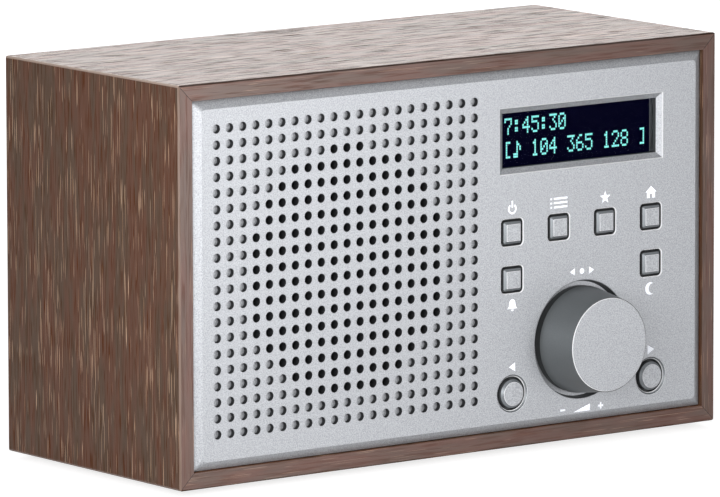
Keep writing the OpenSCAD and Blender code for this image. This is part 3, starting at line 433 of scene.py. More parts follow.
def veneer(name, grain_axis):
    """Walnut whose grain runs along one axis; a thin matt varnish gives it a broken sheen, and a
    painted sheen and highlight lighten its top, front edges and side chamfers.
    """
    material, tree, shader = new_material(name)
    patches, fibres, clusters, lines, dips = (streaks(tree, grain_axis, each) for each in STREAKS)
    front, upper, lying, upright, up = face_masks(tree)
    smoother = add_node(tree, "ShaderNodeMath", {0: front, 1: upper}).outputs[0]
    pores = open_pores(tree, lines, clusters, smoother)
    fibre_tone, top_painted_sheen, corner_painted_highlight = (
        add_node(tree, "ShaderNodeMix", {0: mask, 6: low, 7: high}, data_type="RGBA").outputs[2]
        for mask, low, high in [(fibres, BETWEEN_FIBRES, WHITE), (dips, PAINTED_TOP_SHEEN, PAINTED_TOP_SHEEN_IN_DIPS),
                                (up, SIDE_CHAMFER_HIGHLIGHT, TOP_CORNER_HIGHLIGHT)])
    colour = GREY_BROWN
    # painted light: a painted sheen on the front edges and the top, and a painted highlight on the
    # side chamfers
    for mask, mode, tone in [(patches, "MIX", RED_BROWN), (1.0, "MULTIPLY", fibre_tone),
                             (pores, "MIX", OPEN_PORE), (front, "ADD", PAINTED_FRONT_SHEEN),
                             (upper, "MULTIPLY", top_painted_sheen), (lying, "MIX", LYING_CHAMFER),
                             (upright, "MIX", corner_painted_highlight)]:
        colour = add_node(tree, "ShaderNodeMix", {0: mask, 6: colour, 7: tone},
                          data_type="RGBA", blend_type=mode).outputs[2]
    depth = add_node(tree, "ShaderNodeMath", {0: fibres, 1: pores}, operation="SUBTRACT")
    relief = add_node(tree, "ShaderNodeBump", {"Height": depth.outputs[0], "Strength": VENEER_RELIEF,
                                               "Distance": PORE_DEPTH * MM})
    tree.links.new(colour, shader.inputs["Base Color"])
    tree.links.new(relief.outputs[0], shader.inputs["Normal"])
    for socket, mask, (low, high) in [("Roughness", fibres, VENEER_ROUGHNESS),
                                      ("Specular IOR Level", dips, VENEER_SHEEN)]:
        ranged = add_node(tree, "ShaderNodeMapRange", {0: mask, 3: low, 4: high})
        tree.links.new(ranged.outputs[0], shader.inputs[socket])
    shader.inputs["IOR"].default_value = VARNISH_IOR
    return material


X_AXIS, Z_AXIS = 0, 2
dress(veneer("walnut_veneer_upright", Z_AXIS), "cabinet_left", "cabinet_right")
dress(veneer("walnut_veneer_lying", X_AXIS), "cabinet_top", "cabinet_bottom")

# %% [markdown]
# ## Finishes of the front
#
# The panel, the buttons and the knob are moulded in ABS and sprayed with
# lacquer: tiny metal flakes in clear paint give a fine sparkle and a soft,
# wide highlight. A layered car paint shader could show that too. Grains of a
# half metallic paint are enough here, because the flakes are fine and matt.
# The real flakes are a tenth as wide as these grains, and would not show.
# The face is fully lacquered. Slopes are silver with a painted shade, and the
# insides of openings a dark grey painted shade, where the lacquer is also thin.

# %% Lacquers, bare edges, ink and moulded black
# silver lacquer, straight under the spray, sparkles in soft grains
silver = grained("silver_flake_lacquer", "#9fa1a5", 0.52, 0.35, 0.32, 0.02, Metallic=0.5)
# painted shade: silver on slopes is painted darker, and is a little smoother
slope_shade_silver = grained("silver_with_painted_slope_shade", "#74787c", 0.45, 0.35, 0.06, 0.01, Metallic=0.4)
# painted shade: walls of openings, the recess and the steps round caps and knob are a matt dark grey,
# where the lacquer is also thin
dark_shade_paint = grained("grey_overspray_with_painted_shade", "#46484a", 0.6, 0.5, 0.1, 0.02, Metallic=0.3)
# painted highlight: lips and edges are painted white as a crisp line from every side, so it has no
# mirror
white_edge_highlight = grained("white_painted_edge_highlight", "#f2f3f5", 0.5, 0.5, 0.04, 0.0, Specular_IOR_Level=0.0)
# dark grey lacquer on the knob's side is evener than the silver
grey = grained("grey_flake_lacquer", "#65696b", 0.45, 0.35, 0.06, 0.01, Metallic=0.4)
# screen printed ink lies thick and even; a faint glow keeps it white in the knob's shadow
ink = grained("white_screen_ink", "#ffffff", 0.5, 0.2, 0.02, 0.005, Emission_Strength=0.35,
              Emission_Color=linear("#e4ecff"))
# black ABS takes a fine even tooth from its mould, so its shine is broad and dull
black = grained("black_abs_moulded", "#17181a", 0.55, 0.6, 0.12, 0.03)

dress(silver, "front_panel", *[n for n in nodes if n.endswith("_button")])
dress(grey, "knob")
dress(black, "rear_panel", "push_switches", "dc_socket", "headphone_socket", "line_socket",
      "aerial_base", "speaker_basket", "display_frame")

# %% [markdown]
# ## Finishes of the back and the inside
#
# The rest is seen from behind, below or in an opened radio. Each is the
# shared recipe with the numbers of its own stuff: how dark and how rough it
# is, how wide its grain is, and whether it is metal. They could be left as
# plain colours, but a part is judged from all sides.

# %% Metals
# zinc plating is bright, with a slightly cloudy spangle
steel = grained("zinc_plated_steel", "#b4b7ba", 0.32, 0.8, 0.08, 0.01, Metallic=1.0)
# chromed tube is nearly a mirror
chrome = grained("chromed_brass_tube", "#d6d8da", 0.12, 2.0, 0.02, 0.002, Metallic=1.0)
# turned brass has a warm, soft shine
brass = grained("turned_brass", "#b58b3c", 0.3, 0.5, 0.08, 0.01, Metallic=1.0)
# extruded and anodised aluminium is black with a metallic depth
anodised = grained("black_anodised_aluminium", "#26262a", 0.4, 0.5, 0.1, 0.01, Metallic=0.8)

dress(steel, "front_panel_screws", "rear_panel_screws", "speaker_screws", "board_screws",
      "speaker_top_plate", "speaker_yoke", "encoder_body", "encoder_shaft", "aerial_stud")
dress(chrome, "aerial_pin", "aerial_outer", "aerial_middle", "aerial_tip", "radio_module")
dress(brass, "voice_coil", "encoder_rotor")
dress(anodised, "heat_sink")

# %% Wood, paper, cloth and ferrite
PINE_GRAIN = (1, 0.1, 1)  # ten times as long as it is wide
# sawn pine is pale, with a long darker grain
pine = grained("pine_blocks", "#c4a06a", 0.6, 1.2, 0.15, 0.03, PINE_GRAIN)
# a cone pressed from dyed pulp is matt and fibrous
paper = grained("pressed_paper_cone", "#1e1e20", 0.8, 0.9, 0.25, 0.06)
# cotton cloth dipped in resin is golden brown and matt
cloth = grained("resin_dipped_cloth", "#a07a3c", 0.7, 0.5, 0.2, 0.05)
# sintered ferrite is a dark grey ceramic, faintly pitted
ferrite = grained("sintered_ferrite", "#3a3a3d", 0.6, 0.7, 0.15, 0.03)

dress(pine, "front_blocks", "rear_blocks")
dress(paper, "speaker_cone", "dust_cap")
dress(cloth, "speaker_spider")
dress(ferrite, "speaker_magnet")

# %% Rubber, plastics and boards
# moulded rubber has no shine, and a faint bloom
rubber = grained("black_rubber", "#1b1b1b", 0.75, 0.8, 0.15, 0.04)
# solder mask is green varnish over copper, smooth and glossy
board_green = grained("green_solder_mask", "#1f5c3a", 0.35, 1.5, 0.1, 0.01)
# moulded nylon is milky white and smooth
nylon = grained("white_nylon", "#e6e4dc", 0.45, 0.8, 0.04, 0.02)
# a shrunk PVC sleeve is tight and glossy
sleeve = grained("blue_pvc_sleeve", "#22304c", 0.3, 1.5, 0.05, 0.01)
# extruded PVC is an even light grey, half matt
cable = grained("grey_pvc_cable", "#a9a9a2", 0.45, 0.8, 0.05, 0.02)

dress(rubber, "feet", "speaker_gasket", "speaker_surround")
dress(board_green, "display_board", "control_board", "main_board")
dress(nylon, "display_backlight", "board_spacers")
dress(sleeve, "capacitors")
dress(cable, "display_cable", "ribbon_cable", "speaker_leads")

# %% [markdown]
# ## Building in mesh code
#
# Most pieces of the front are flat outlines at different depths. They could
# be cut with boolean modifiers, but 420 holes with rounded lips would take
# long and leave untidy faces. Here they are made of loops: closed rows of
# points, each at its own depth. Two loops of the same length are bridged with
# a band of faces, and a loop can be filled. A sheet with holes in it is cut
# into triangles between its outer loop and its hole loops.

# %% Outlines
COARSE, PLAIN, FINE, FINEST = 24, 48, 96, 128  # points on small and on ever larger circles
CORNER_STEPS = 6


def circle(x, z, r, count=PLAIN):
    """A round outline."""
    return [(x + r * math.cos(math.tau * k / count), z + r * math.sin(math.tau * k / count))
            for k in range(count)]


def rectangle(x, z, half_w, half_h):
    """An outline with four sharp corners."""
    return [(x + sx * half_w, z + sz * half_h) for sx, sz in [(1, 1), (-1, 1), (-1, -1), (1, -1)]]


def rounded(x, z, half_w, half_h, r):
    """A rectangle whose corners are rounded to a radius."""
    points = []
    for quarter, (sx, sz) in enumerate([(1, 1), (-1, 1), (-1, -1), (1, -1)]):
        for step in range(CORNER_STEPS + 1):
            a = math.radians(90 * (quarter + step / CORNER_STEPS))
            points.append((x + sx * (half_w - r) + r * math.cos(a),
                           z + sz * (half_h - r) + r * math.sin(a)))
    return points


def cross(x, z, arm, half, turn=0):
    """A cross of four arms, each of a length and a half width, turned by degrees."""
    spot = Vector((x, z))
    corner = [Vector((arm, -half)), Vector((arm, half)), Vector((half, half))]
    return [tuple(spot + Matrix.Rotation(math.radians(turn + 90 * quarter), 2) @ point)
            for quarter in range(4) for point in corner]


print("a circle of", len(circle(0, 0, 1)), "points and a rounded square of",
      len(rounded(0, 0, 4, 4, 1)))

# %% A piece made of loops
SHARP = math.radians(32)  # edges that turn more than this stay sharp
INSIDE_ONLY = 1  # the triangulation keeps what lies inside the outer loop
NEAREST = 1e-5  # mm; points closer than this would merge


class Skin:
    """Points and faces of one piece, in mm; a face takes the paint of its moment."""

    def __init__(self, paint):
        self.points, self.faces, self.paints, self.edges = [], [], [], set()
        self.paint = paint

    def loop(self, outline, y):
        """The numbers of an outline's points at a depth."""
        start = len(self.points)
        self.points += [(x, y, z) for x, z in outline]
        return list(range(start, len(self.points)))

    def face(self, ids):
        self.faces.append(tuple(ids))
        self.paints.append(self.paint)

    def bridge(self, first, second):
        """A band of faces between two loops of the same length."""
        for k in range(len(first)):
            self.face((first[k - 1], first[k], second[k], second[k - 1]))

    def loft(self, loops):
        """Bands from each loop to the next."""
        for first, second in zip(loops, loops[1:]):
            self.bridge(first, second)

    def crease(self, ids):
        """Keep a loop's edges sharp."""
        self.edges |= {frozenset((ids[k - 1], ids[k])) for k in range(len(ids))}

    def fill(self, ids):
        """One face inside a loop."""
        self.face(ids)
        self.crease(ids)

    def slab(self, outline, y0, y1):
        """A solid with the same outline at both ends."""
        ends = [self.loop(outline, y) for y in (y0, y1)]
        self.bridge(*ends)
        for end in ends:
            self.fill(end)

    def sheet(self, outer, holes):
        """Flat faces between an outer loop and the loops of its holes."""
        loops = [outer, *holes]
        ids = [i for ids in loops for i in ids]
        owner = {i: k for k, ids in enumerate(loops) for i in ids}
        at, edges = 0, []
        for each in loops:
            edges += [(at + k, at + (k + 1) % len(each)) for k in range(len(each))]
            at += len(each)
        flat = [Vector((self.points[i][0], self.points[i][2])) for i in ids]
        _, _, triangles, origin, *_ = delaunay_2d_cdt(flat, edges, [], INSIDE_ONLY, NEAREST)
        for triangle in triangles:
            corners = [ids[origin[v][0]] for v in triangle]
            owners = {owner[i] for i in corners}
            if len(owners) > 1 or 0 in owners:  # else it lies across a hole
                self.face(corners)
        for each in loops:
            self.crease(each)

    def make(self, name, body):
        """The finished object, smooth but for its sharp edges, riding on its CAD body."""
        paints = list(dict.fromkeys(self.paints))
        mesh = bpy.data.meshes.new(name)
        mesh.from_pydata([Vector(p) * MM for p in self.points], [], self.faces)
        mesh.polygons.foreach_set("material_index", [paints.index(p) for p in self.paints])
        mesh.polygons.foreach_set("use_smooth", [True] * len(self.faces))
        work = bmesh.new()
        work.from_mesh(mesh)
        bmesh.ops.recalc_face_normals(work, faces=work.faces)
        work.to_mesh(mesh)
        work.free()
        mesh.set_sharp_from_angle(angle=SHARP)
        for edge in mesh.edges:
            if frozenset(edge.vertices) in self.edges:
                edge.use_edge_sharp = True
        for paint in paints:
            mesh.materials.append(paint)
        piece = bpy.data.objects.new(name, mesh)
        bpy.context.scene.collection.objects.link(piece)
        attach(piece, body)
        print(name, "has", len(self.faces), "faces")
        return piece


print("edges over", round(math.degrees(SHARP)), "degrees stay sharp")

# %% [markdown]
# ## The front panel
#
# One silver moulding: a flat face with a bevelled edge, 420 small round holes,
# a sunk frame round the display, openings for the buttons and a round recess
# for the knob. The CAD panel could be bevelled by a modifier, but the eye
# reads a moulding by its edges, and each kind here has its own: every opening
# gets a tiny lip, and round the display and the buttons it is painted white
# as a highlight, with a wall of painted shade behind. So an opening is a list
# of steps, which say how far its outline has grown, how deep it is and which
# paint the band below it takes.

# %% Sizes of the panel
PANEL_T = 2.7
RIM_T, RIM_D = 2.0, 10.0  # the rim runs back into the box
back_y = FACE_Y + PANEL_T
mid_z = (panel_low.z + panel_high.z) / 2
half_w, half_h = panel_high.x, (panel_high.z - panel_low.z) / 2
speaker = centre_mm("speaker_magnet")
window = centre_mm("display_window")
knob_at = centre_mm("knob")

panel = Skin(silver)
front_holes, back_holes = [], []


def pierce(outline, steps, to=PANEL_T):
    """An opening that follows its steps and then runs straight to a depth; its last loop."""
    loops = [panel.loop(outline(grow), FACE_Y + depth) for grow, depth, _ in [*steps, (0, to, 0)]]
    for (_, _, panel.paint), first, second in zip(steps, loops, loops[1:]):
        panel.bridge(first, second)
    panel.paint = silver
    front_holes.append(loops[0])
    return loops[-1]


print("the panel is", round(2 * half_w, 1), "by", round(2 * half_h, 1), "mm")

# %% Edge and rim
# A small rounded lip, and then a straight slope with rounded ends. The steps close together
# hold the shading flat between them, so the bevel stays crisp.
LOW_BEVEL = 0.86  # the bevel is this much narrower along the top and bottom
EDGE_STEPS = [  # inset from the panel's outline, depth and corner radius
    (3.1, 0, 1.3), (3.0, 0.03, 1.35), (2.9, 0.1, 1.4), (2.8, 0.16, 1.4), (0.25, 1.66, 0.4),
    (0.12, 1.74, 0.3), (0, 1.85, 0.2), (0, RIM_D, 0.2), (RIM_T, RIM_D, 0.2), (RIM_T, PANEL_T, 0.2),
]
outer = [panel.loop(rounded(0, mid_z, half_w - inset, half_h - inset * LOW_BEVEL, corner_r),
                    FACE_Y + depth) for inset, depth, corner_r in EDGE_STEPS]
panel.loft(outer)
print("the bevel is", EDGE_STEPS[0][0], "mm wide at the sides")

# %% Grille
# The holes in front of the speaker go all the way through. The rest are blind: black walls
# that the lacquer did not reach, and a silver floor.
COLUMNS, ROWS = 21, 20
PITCH, HOLE_R, BLIND_D = 5.0, 1.4, 1.7
FIRST_IN, FIRST_DOWN = 8.6, 8.9  # first hole from the panel's left and top edges
OPEN_R = 39.53  # holes are open within this distance of the speaker's axis
HOLE_STEPS = [(0.12, 0, silver), (0.035, 0.035, silver), (0, 0.12, black)]
for column in range(COLUMNS):
    for row in range(ROWS):
        x = panel_low.x + FIRST_IN + PITCH * column
        z = panel_high.z - FIRST_DOWN - PITCH * row
        is_open = math.hypot(x - speaker.x, z - speaker.z) <= OPEN_R
        end = pierce(lambda grow: circle(x, z, HOLE_R + grow, COARSE), HOLE_STEPS,
                     PANEL_T if is_open else BLIND_D)
        if is_open:
            back_holes.append(end)
        else:
            panel.fill(end)
print(len(front_holes), "holes,", len(back_holes), "of them open")

# %% Display opening
# A lip painted white as a highlight, a silver slope, and a wall of dark grey painted shade behind
# which the window sits.
DISPLAY_W, DISPLAY_H = 61.9, 17.3  # clear opening behind the sloping frame
back_holes.append(pierce(
    lambda grow: rectangle(window.x, window.z, DISPLAY_W / 2 + grow, DISPLAY_H / 2 + grow),
    [(2.0, 0, white_edge_highlight), (1.9, 0.06, white_edge_highlight), (1.75, 0.24, silver), (0.14, 1.3, silver),
     (0.08, 1.38, dark_shade_paint)]))
print("display opening", DISPLAY_W, "by", DISPLAY_H, "mm")

# %% Button openings
# The chamfer round each opening is painted white as a highlight, which draws its bright outline; on
# the round ones a band of silver with painted shade lies between, and the wall behind is painted
# shade.
SQUARE, SQUARE_R, LIP = 8.6, 1.4, 0.3
SQUARES = ["power", "menu", "favourite", "local", "alarm", "sleep"]
SQUARE_STEPS = [(LIP, 0, white_edge_highlight), (LIP - 0.03, 0.01, white_edge_highlight), (0.03, LIP - 0.03, white_edge_highlight), (0, LIP, dark_shade_paint)]
ROUNDS = ["previous", "next"]
ROUND_R = 5.4
ROUND_STEPS = [(0.78, 0, white_edge_highlight), (0.7, 0.06, slope_shade_silver), (0.25, 0.5, white_edge_highlight), (0, 0.7, dark_shade_paint)]
button_at = {name: centre_mm(name + "_button") for name in [*SQUARES, *ROUNDS]}
for name in SQUARES:
    at = button_at[name]
    back_holes.append(pierce(lambda grow: rounded(at.x, at.z, SQUARE / 2 + grow, SQUARE / 2 + grow,
                                                  SQUARE_R + grow), SQUARE_STEPS))
for name in ROUNDS:
    at = button_at[name]
    back_holes.append(pierce(lambda grow: circle(at.x, at.z, ROUND_R + grow), ROUND_STEPS))
print(len(button_at), "button openings")

# %% Recess for the knob
# A cup behind the panel. Its wall slopes in and is painted dark grey as shade. Its floor is
# silver in the ring that shows round the knob, and painted dark as shade further in.
RECESS_R, RECESS_D, RECESS_WALL, RECESS_FLOOR, BUSH_R = 18.95, 2.5, 2.0, 1.8, 3.9
RECESS_SLOPE = 0.6
PAINTED_R = 17.0  # the floor is silver from here outwards
RECESS_LIP, LIP_STEPS, LIP_END = 0.25, 4, 0.4


def knob_circle(r, count=FINE):
    return circle(knob_at.x, knob_at.z, r, count)


turns = [math.pi / 2 * k / LIP_STEPS for k in range(LIP_STEPS)]
lip = [(RECESS_LIP * (1 - math.sin(a)), RECESS_LIP * (1 - math.cos(a)), silver) for a in turns]
rim = pierce(lambda grow: knob_circle(RECESS_R + grow), [*lip, (0, RECESS_LIP, dark_shade_paint)], LIP_END)
floor_y = FACE_Y + RECESS_D
bush = [panel.loop(knob_circle(BUSH_R, PLAIN), floor_y + depth) for depth in (0, RECESS_FLOOR)]
cup = [panel.loop(knob_circle(RECESS_R + RECESS_WALL), y) for y in (floor_y + RECESS_FLOOR, back_y)]
spray = panel.loop(knob_circle(PAINTED_R), floor_y)
foot = panel.loop(knob_circle(RECESS_R - RECESS_SLOPE), floor_y)
panel.bridge(foot, spray)
panel.paint = dark_shade_paint
panel.bridge(rim, foot)
panel.sheet(spray, [bush[0]])
panel.paint = silver
panel.bridge(*bush)
panel.sheet(cup[0], [bush[1]])
panel.bridge(*cup)
back_holes.append(cup[1])
print("recess", 2 * RECESS_R, "mm across and", RECESS_D, "mm deep")

# %% Close the panel
panel.sheet(outer[0], front_holes)
panel.sheet(outer[-1], back_holes)
front = panel.make("silver_front", "radio")
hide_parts("front_panel")

# %% [markdown]
# ## Joints of the box
#
# The four boards meet in mitres at the corners of the box, and a line of dark
# glue shows in each. A texture could draw it, but thin strips of mesh stay
# crisp in close-ups. They stand a hair proud, as squeezed-out glue does.

# %% Glue lines
HALF_LINE = 0.12
FROM_CORNER, FROM_PANEL = 0.5, 0.4  # the line ends this short of the box's corner and panel
GLUE_PROUD, GLUE_DEEP = 0.02, 0.05
# dried glue is dark and matt, and reads as a thin shadow
glue = grained("dark_glue_line", "#2a1c15", 0.7, 0.5, 0.2, 0.0)
board_high = box_mm("cabinet_top")[1]
side_low, side_high = box_mm("cabinet_left")
joints = Skin(glue)
for side in (-1, 1):
    x0, x1 = side * (board_high.x - FROM_CORNER), side * (panel_high.x + FROM_PANEL)
    for z0, z1 in [(side_high.z - FROM_CORNER, panel_high.z + FROM_PANEL),
                   (side_low.z + FROM_CORNER, panel_low.z - FROM_PANEL)]:
        line = [(x0 - HALF_LINE, z0), (x0 + HALF_LINE, z0), (x1 + HALF_LINE, z1),
                (x1 - HALF_LINE, z1)]
        joints.slab(line, side_low.y - GLUE_PROUD, side_low.y + GLUE_DEEP)
joints.make("mitre_joints", "radio")

# %% [markdown]
# ## The display
#
# Behind the clear window lies a character display: two lines of sixteen
# places, each five dots wide and seven high. An image on the glass would be
# the quick way, but it blurs up close. Here each lit dot is a thin tile of
# its own just in front of the black glass, so the figures are shapes. The
# radio shows a time and a row of plain numbers.

# %% Dot figures
FIGURES = {
    "0": ".###. #...# #..## #.#.# ##..# #...# .###.",
    "1": "..#.. .##.. ..#.. ..#.. ..#.. ..#.. .###.",
    "2": ".###. #...# ....# ...#. ..#.. .#... #####",
    "3": "##### ...#. ..#.. ...#. ....# #...# .###.",
    "4": "...#. ..##. .#.#. #..#. ##### ...#. ...#.",
    "5": "##### #.... ####. ....# ....# #...# .###.",
    "6": "..##. .#... #.... ####. #...# #...# .###.",
    "7": "##### #...# ....# ...#. ..#.. ..#.. ..#..",
    "8": ".###. #...# #...# .###. #...# #...# .###.",
    ":": "..... .##.. .##.. ..... .##.. .##.. .....",
    "[": ".###. .#... .#... .#... .#... .#... .###.",
    "]": ".###. ...#. ...#. ...#. ...#. ...#. .###.",
    "~": "..#.. ..##. ..#.# ..#.# ..#.. ###.. ###..",
    " ": "..... ..... ..... ..... ..... ..... .....",
}
LINES = ["7:45:30", "[~ 104 365 128 ]"]
print("figures for", "".join(FIGURES))

# %% Lit dots
PLACE_W, LINE_H = 3.61, 7.5
DOT_PITCH, DOT_SIZE = (0.60, 0.765), (0.25, 0.325)  # across and down; half sizes
TEXT_IN, TEXT_DOWN = 27.4, 6.5  # first dot from the window's middle
DOT_FRONT, DOT_BACK = 0.06, 0.02  # in front of the glass
glass_y = box_mm("display_glass")[0].y
# backlit liquid crystal is a blue-green light of its own, with hardly any paint colour
lit = grained("lit_display_dots", "#103c3a", 0.5, 0.3, 0.1, 0.005, Emission_Strength=1.0,
              Emission_Color=linear("#8efcf4"))

dots = Skin(lit)
for row, line in enumerate(LINES):
    for place, figure in enumerate(line):
        for down, bits in enumerate(FIGURES[figure].split()):
            for across, bit in enumerate(bits):
                if bit == "#":
                    x = window.x - TEXT_IN + place * PLACE_W + across * DOT_PITCH[0] + DOT_SIZE[0]
                    z = window.z + TEXT_DOWN - row * LINE_H - down * DOT_PITCH[1] - DOT_SIZE[1]
                    dots.slab(rectangle(x, z, *DOT_SIZE), glass_y - DOT_FRONT, glass_y - DOT_BACK)
dots.make("display_dots", "radio")

# %% Glass and window
# an unlit display is black glass with a breath of blue from its backlight
glass_black = grained("black_display_glass", "#020206", 0.35, 3.0, 0.3, 0.0, Specular_IOR_Level=0.0,
                      Emission_Strength=1.0, Emission_Color=linear("#020214"))
dress(glass_black, "display_glass")
# acrylic with an anti-glare coating hardly mirrors the room, so its IOR is close to that of air
clear = grained("coated_acrylic_window", "#f4f6f8", 0.01, 4.0, 0.01, 0.0, IOR=1.04,
                Transmission_Weight=1.0)
dress(clear, "display_window")

# %% Grey strip of painted shade
# A grey strip at the right end behind the window, put there as painted shade for the window's
# shaded end wall; it shows as a grey band.
STRIP_W = 1.4
STRIP_OVER = 0.6  # it is taller than the opening, above and below
STRIP_FROM, STRIP_TO = 0.08, 0.24  # behind the window
# painted shade in a matt, coarse grey
end_shade_grey = grained("grey_painted_end_shade", "#474a4e", 0.8, 0.3, 0.25, 0.02)
behind = box_mm("display_window")[1]
end_shade = Skin(end_shade_grey)
end_shade.slab(rectangle(behind.x - STRIP_W / 2, window.z, STRIP_W / 2, DISPLAY_H / 2 + STRIP_OVER),
          behind.y + STRIP_FROM, behind.y + STRIP_TO)
end_shade.make("display_end_shade_strip", "radio")

# %% [markdown]
# ## The buttons
#
# Each cap stands a millimetre out of its opening. The edge round its face is
# painted white as a thin line of highlight, its four sides slope in silver
# with painted shade, and below them a dark grey painted shade goes on. A
# bevel modifier could round the CAD caps, but it would give every edge the
# same width. Here one list of steps makes all eight caps, and only the
# outline differs. Behind the panel a flange stops the cap from falling out,
# and a stem reaches the switch.

# %% Steps and sizes of a cap
CAP_STEPS = [  # growth of the outline, depth, and the paint of the band that follows
    (-0.92, 0.2, white_edge_highlight), (-0.84, 0.215, white_edge_highlight), (-0.78, 0.28, slope_shade_silver), (-0.07, 0.95, slope_shade_silver),
    (-0.02, 1.0, dark_shade_paint), (0, 1.15, dark_shade_paint), (0, 3.85, dark_shade_paint), (1.8, 3.85, dark_shade_paint), (1.8, 4.85, dark_shade_paint),
]
CAP, CAP_CORNER, LEAST_CORNER = 3.5, 0.6, 0.12
CAP_ROUND_R, FLANGE_ROUND_OUT = 4.6, 1.4
STEM_R, STEM_FROM = 2.2, 4.86
PLUNGER_R, PLUNGER_L, PLUNGER_GAP = 1.7, 2.5, 0.05
print("a cap is", 2 * CAP, "mm wide")

# %% Buttons


def button(name, outline):
    """A cap from its front to its flange, its stem, and the switch's plunger."""
    low, high = box_mm(name + "_button")
    at = (low + high) / 2
    skin = Skin(silver)
    loops = [skin.loop(outline(at, grow), low.y + depth) for grow, depth, _ in CAP_STEPS]
    skin.fill(loops[0])
    for (_, _, skin.paint), first, second in zip(CAP_STEPS, loops, loops[1:]):
        skin.bridge(first, second)
    skin.fill(loops[-1])
    for r, y0, y1, skin.paint in [
            (STEM_R, low.y + STEM_FROM, high.y - PLUNGER_L - PLUNGER_GAP, dark_shade_paint),
            (PLUNGER_R, high.y - PLUNGER_L, high.y, black)]:
        skin.slab(circle(at.x, at.z, r, COARSE), y0, y1)
    piece = skin.make(name + "_cap", name + "_button")
    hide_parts(name + "_button")


for name in SQUARES:
    button(name, lambda at, grow: rounded(at.x, at.z, CAP + grow, CAP + grow,
                                          max(LEAST_CORNER, CAP_CORNER + grow / 2)))
for name in ROUNDS:
    button(name, lambda at, grow: circle(at.x, at.z, CAP_ROUND_R + min(grow, FLANGE_ROUND_OUT)))

# %% [markdown]
# ## The knob
#
# The knob was moulded and then sprayed: silver on its flat front, dark grey
# on its side. A narrow chamfer between them is painted white as a highlight
# line, with a thin step of dark grey painted shade round it. A Screw modifier
# could sweep the profile. Loops do the same, and let each band have its own
# paint.

# %% Knob
knob_low, knob_high = box_mm("knob")
KNOB_R = (knob_high.x - knob_low.x) / 2
FRONT_R = 15.1
SKIRT_D = FACE_Y - knob_low.y
HUB_D = knob_high.y - knob_low.y
HUB_R, SHAFT_R, SHELL, FRONT_T, SOCKET_D = 5.2, 3.02, 2.0, 2.5, 0.5
KNOB_PROFILE = [  # radius, depth, and the paint of the band that ends there
    (FRONT_R - 0.4, 0, silver), (FRONT_R - 0.36, 0.01, white_edge_highlight), (FRONT_R - 0.18, 0.18, white_edge_highlight),
    (FRONT_R - 0.16, 0.22, dark_shade_paint), (FRONT_R, 0.26, dark_shade_paint), (FRONT_R + 0.01, 0.3, grey),
    (KNOB_R - 0.03, SKIRT_D - 0.15, grey), (KNOB_R - 0.15, SKIRT_D, grey),
    (KNOB_R - SHELL, SKIRT_D, grey), (FRONT_R - SHELL, FRONT_T, grey), (HUB_R, FRONT_T, grey),
    (HUB_R, HUB_D, grey), (SHAFT_R, HUB_D, grey), (SHAFT_R, FRONT_T + SOCKET_D, grey),
]
knob = Skin(silver)
rings = [knob.loop(knob_circle(r, FINEST), knob_low.y + depth) for r, depth, _ in KNOB_PROFILE]
for (_, _, knob.paint), first, second in zip(KNOB_PROFILE[1:], rings, rings[1:]):
    knob.bridge(first, second)
knob.fill(rings[-1])
knob.paint = silver
knob.fill(rings[0])
turned = knob.make("volume_knob", "knob")
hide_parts("knob")

# %% [markdown]
# ## Printed marks
#
# White ink marks what each button does. Here they are plain signs that any
# radio could carry: power, list, star, house, bell, moon, arrows, and a
# rising wedge between minus and plus under the knob. A texture could print
# them, but outlines stay sharp at any distance. Each is a sheet of ink two
# hundredths of a millimetre proud of the lacquer.

# %% Signs as outlines
INK = 0.55  # width of a drawn line, before scaling
SIGN_SCALE = 1.15


def arc(x, z, r, start, end, count=COARSE):
    """Points along part of a circle, between two angles in degrees."""
    angles = [math.radians(start + (end - start) * k / count) for k in range(count + 1)]
    return [(x + r * math.cos(a), z + r * math.sin(a)) for a in angles]


def bar(x0, z0, x1, z1):
    """An upright rectangle between two corners."""
    return [(x0, z0), (x1, z0), (x1, z1), (x0, z1)]


def mirrored(half):
    """A right half and its mirror image; points on the axis come once."""
    return half + [(-x, z) for x, z in reversed(half) if x]


SIGNS = {
    "power": [arc(0, -0.25, 1.5, 125, 415) + arc(0, -0.25, 1.5 - INK, 415, 125),
              bar(-INK / 2, 0.1, INK / 2, 2.0)],
    "menu": [bar(x0, z - INK / 2, x1, z + INK / 2)
             for z in (-1.2, 0, 1.2) for x0, x1 in ((-3.0, -2.4), (-1.8, 3.0))],
    "favourite": [[(r * math.sin(math.radians(36 * k)), r * math.cos(math.radians(36 * k)))
                   for k, r in enumerate([1.95, 0.8] * 5)]],
    "local": [mirrored([(0, 1.8), (2.0, 0.05), (1.45, 0.05), (1.45, -1.6), (0.42, -1.6),
                        (0.42, -0.4)])],
    "alarm": [mirrored([(0, 1.75), (0.5, 1.6), (0.95, 1.2), (1.1, 0.5), (1.25, -0.35),
                        (1.75, -0.95)]), arc(0, -1.15, 0.5, 180, 360, 8)],
    "sleep": [arc(-0.2, 0, 1.75, 55, 305) + arc(0.7, 0, 1.437, 272, 88)],
    "previous": [[(-1.2, 0), (1.0, 1.25), (1.0, -1.25)]],
    "next": [[(1.2, 0), (-1.0, 1.25), (-1.0, -1.25)]],
    "turn": [[(-4.3, 0), (-2.5, 1.0), (-2.5, -1.0)], [(4.3, 0), (2.5, 1.0), (2.5, -1.0)],
             circle(0, 0, 0.8, COARSE)],
    "volume": [bar(-7.6, -0.25, -5.8, 0.25), cross(6.7, 0, 0.9, 0.25),
               [(-2.9, -0.95), (2.9, -0.95), (2.9, 0.95)]],
}
print(len(SIGNS), "signs")

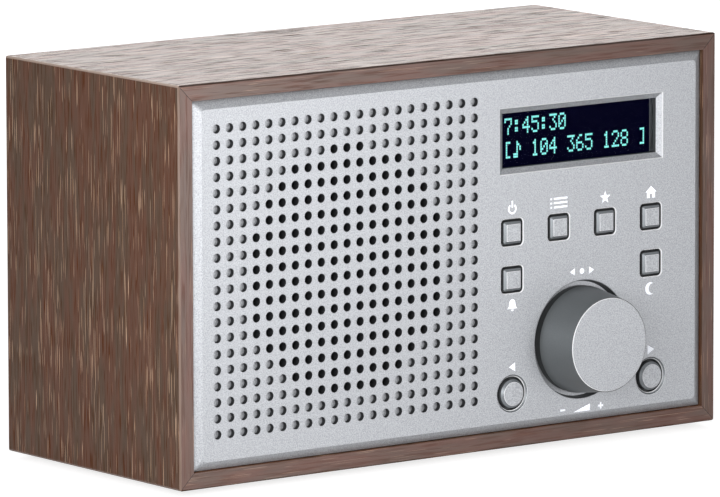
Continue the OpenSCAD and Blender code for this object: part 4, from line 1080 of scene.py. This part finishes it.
# %% Places of the signs
ABOVE, BELOW, OVER_ROUND = 7.8, -8.2, 8.5  # from the middle of the button
RISE = {"power": ABOVE, "menu": ABOVE, "favourite": ABOVE, "local": ABOVE, "alarm": BELOW,
        "sleep": BELOW, "previous": OVER_ROUND, "next": OVER_ROUND}
OVER_KNOB, UNDER_KNOB = 21.9, -22.1  # from the knob's axis
sign_at = {name: (at.x, at.z + RISE[name]) for name, at in button_at.items()}
sign_at["turn"] = (knob_at.x, knob_at.z + OVER_KNOB)
sign_at["volume"] = (knob_at.x, knob_at.z + UNDER_KNOB)
print("the highest sign is at z =", round(max(z for _, z in sign_at.values()), 1), "mm")

# %% Ink
PROUD = 0.02
signs = Skin(ink)
for name, outlines in SIGNS.items():
    x0, z0 = sign_at[name]
    for outline in outlines:
        signs.slab([(x0 + SIGN_SCALE * x, z0 + SIGN_SCALE * z) for x, z in outline],
                   FACE_Y - PROUD, FACE_Y + PROUD)
signs.make("printed_signs", "radio")

# %% [markdown]
# ## Rear screws
#
# Four pan-head screws hold the rear panel. The CAD model has plain heads, so
# each is made again with a rounded edge and a tapered cross recess. Copies of
# one screw would do, but every real screw stops at its own angle, as a hand
# leaves it.

# %% Rear screws
HEAD_R, HEAD_T, SHANK_R = 2.75, 1.8, 1.5
HEAD_STEPS = [(-0.8, 0), (-0.45, 0.1), (-0.2, 0.3), (-0.05, 0.6), (0, 0.9), (0, HEAD_T)]
ARM, HALF_ARM, CROSS_D, TAPER = 1.5, 0.32, 1.1, 0.16
TURNS = [20, 65, 38, 81]  # degrees
screws_low, screws_high = box_mm("rear_panel_screws")
screws = Skin(steel)
places = [(x, z) for x in (screws_low.x + HEAD_R, screws_high.x - HEAD_R)
          for z in (screws_low.z + HEAD_R, screws_high.z - HEAD_R)]
for (x, z), turn in zip(places, TURNS):
    head = [screws.loop(circle(x, z, HEAD_R + grow), screws_high.y - depth)
            for grow, depth in HEAD_STEPS]
    shank = [screws.loop(circle(x, z, SHANK_R), y) for y in (screws_high.y - HEAD_T, screws_low.y)]
    screws.loft(head + shank)
    screws.fill(shank[1])
    recess = [screws.loop(cross(x, z, ARM - inset, HALF_ARM - inset, turn), screws_high.y - depth)
              for inset, depth in [(0, 0), (TAPER, CROSS_D)]]
    screws.sheet(head[0], [recess[0]])
    screws.bridge(*recess)
    screws.fill(recess[1])
driven = screws.make("rear_screws", "radio")
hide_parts("rear_panel_screws")
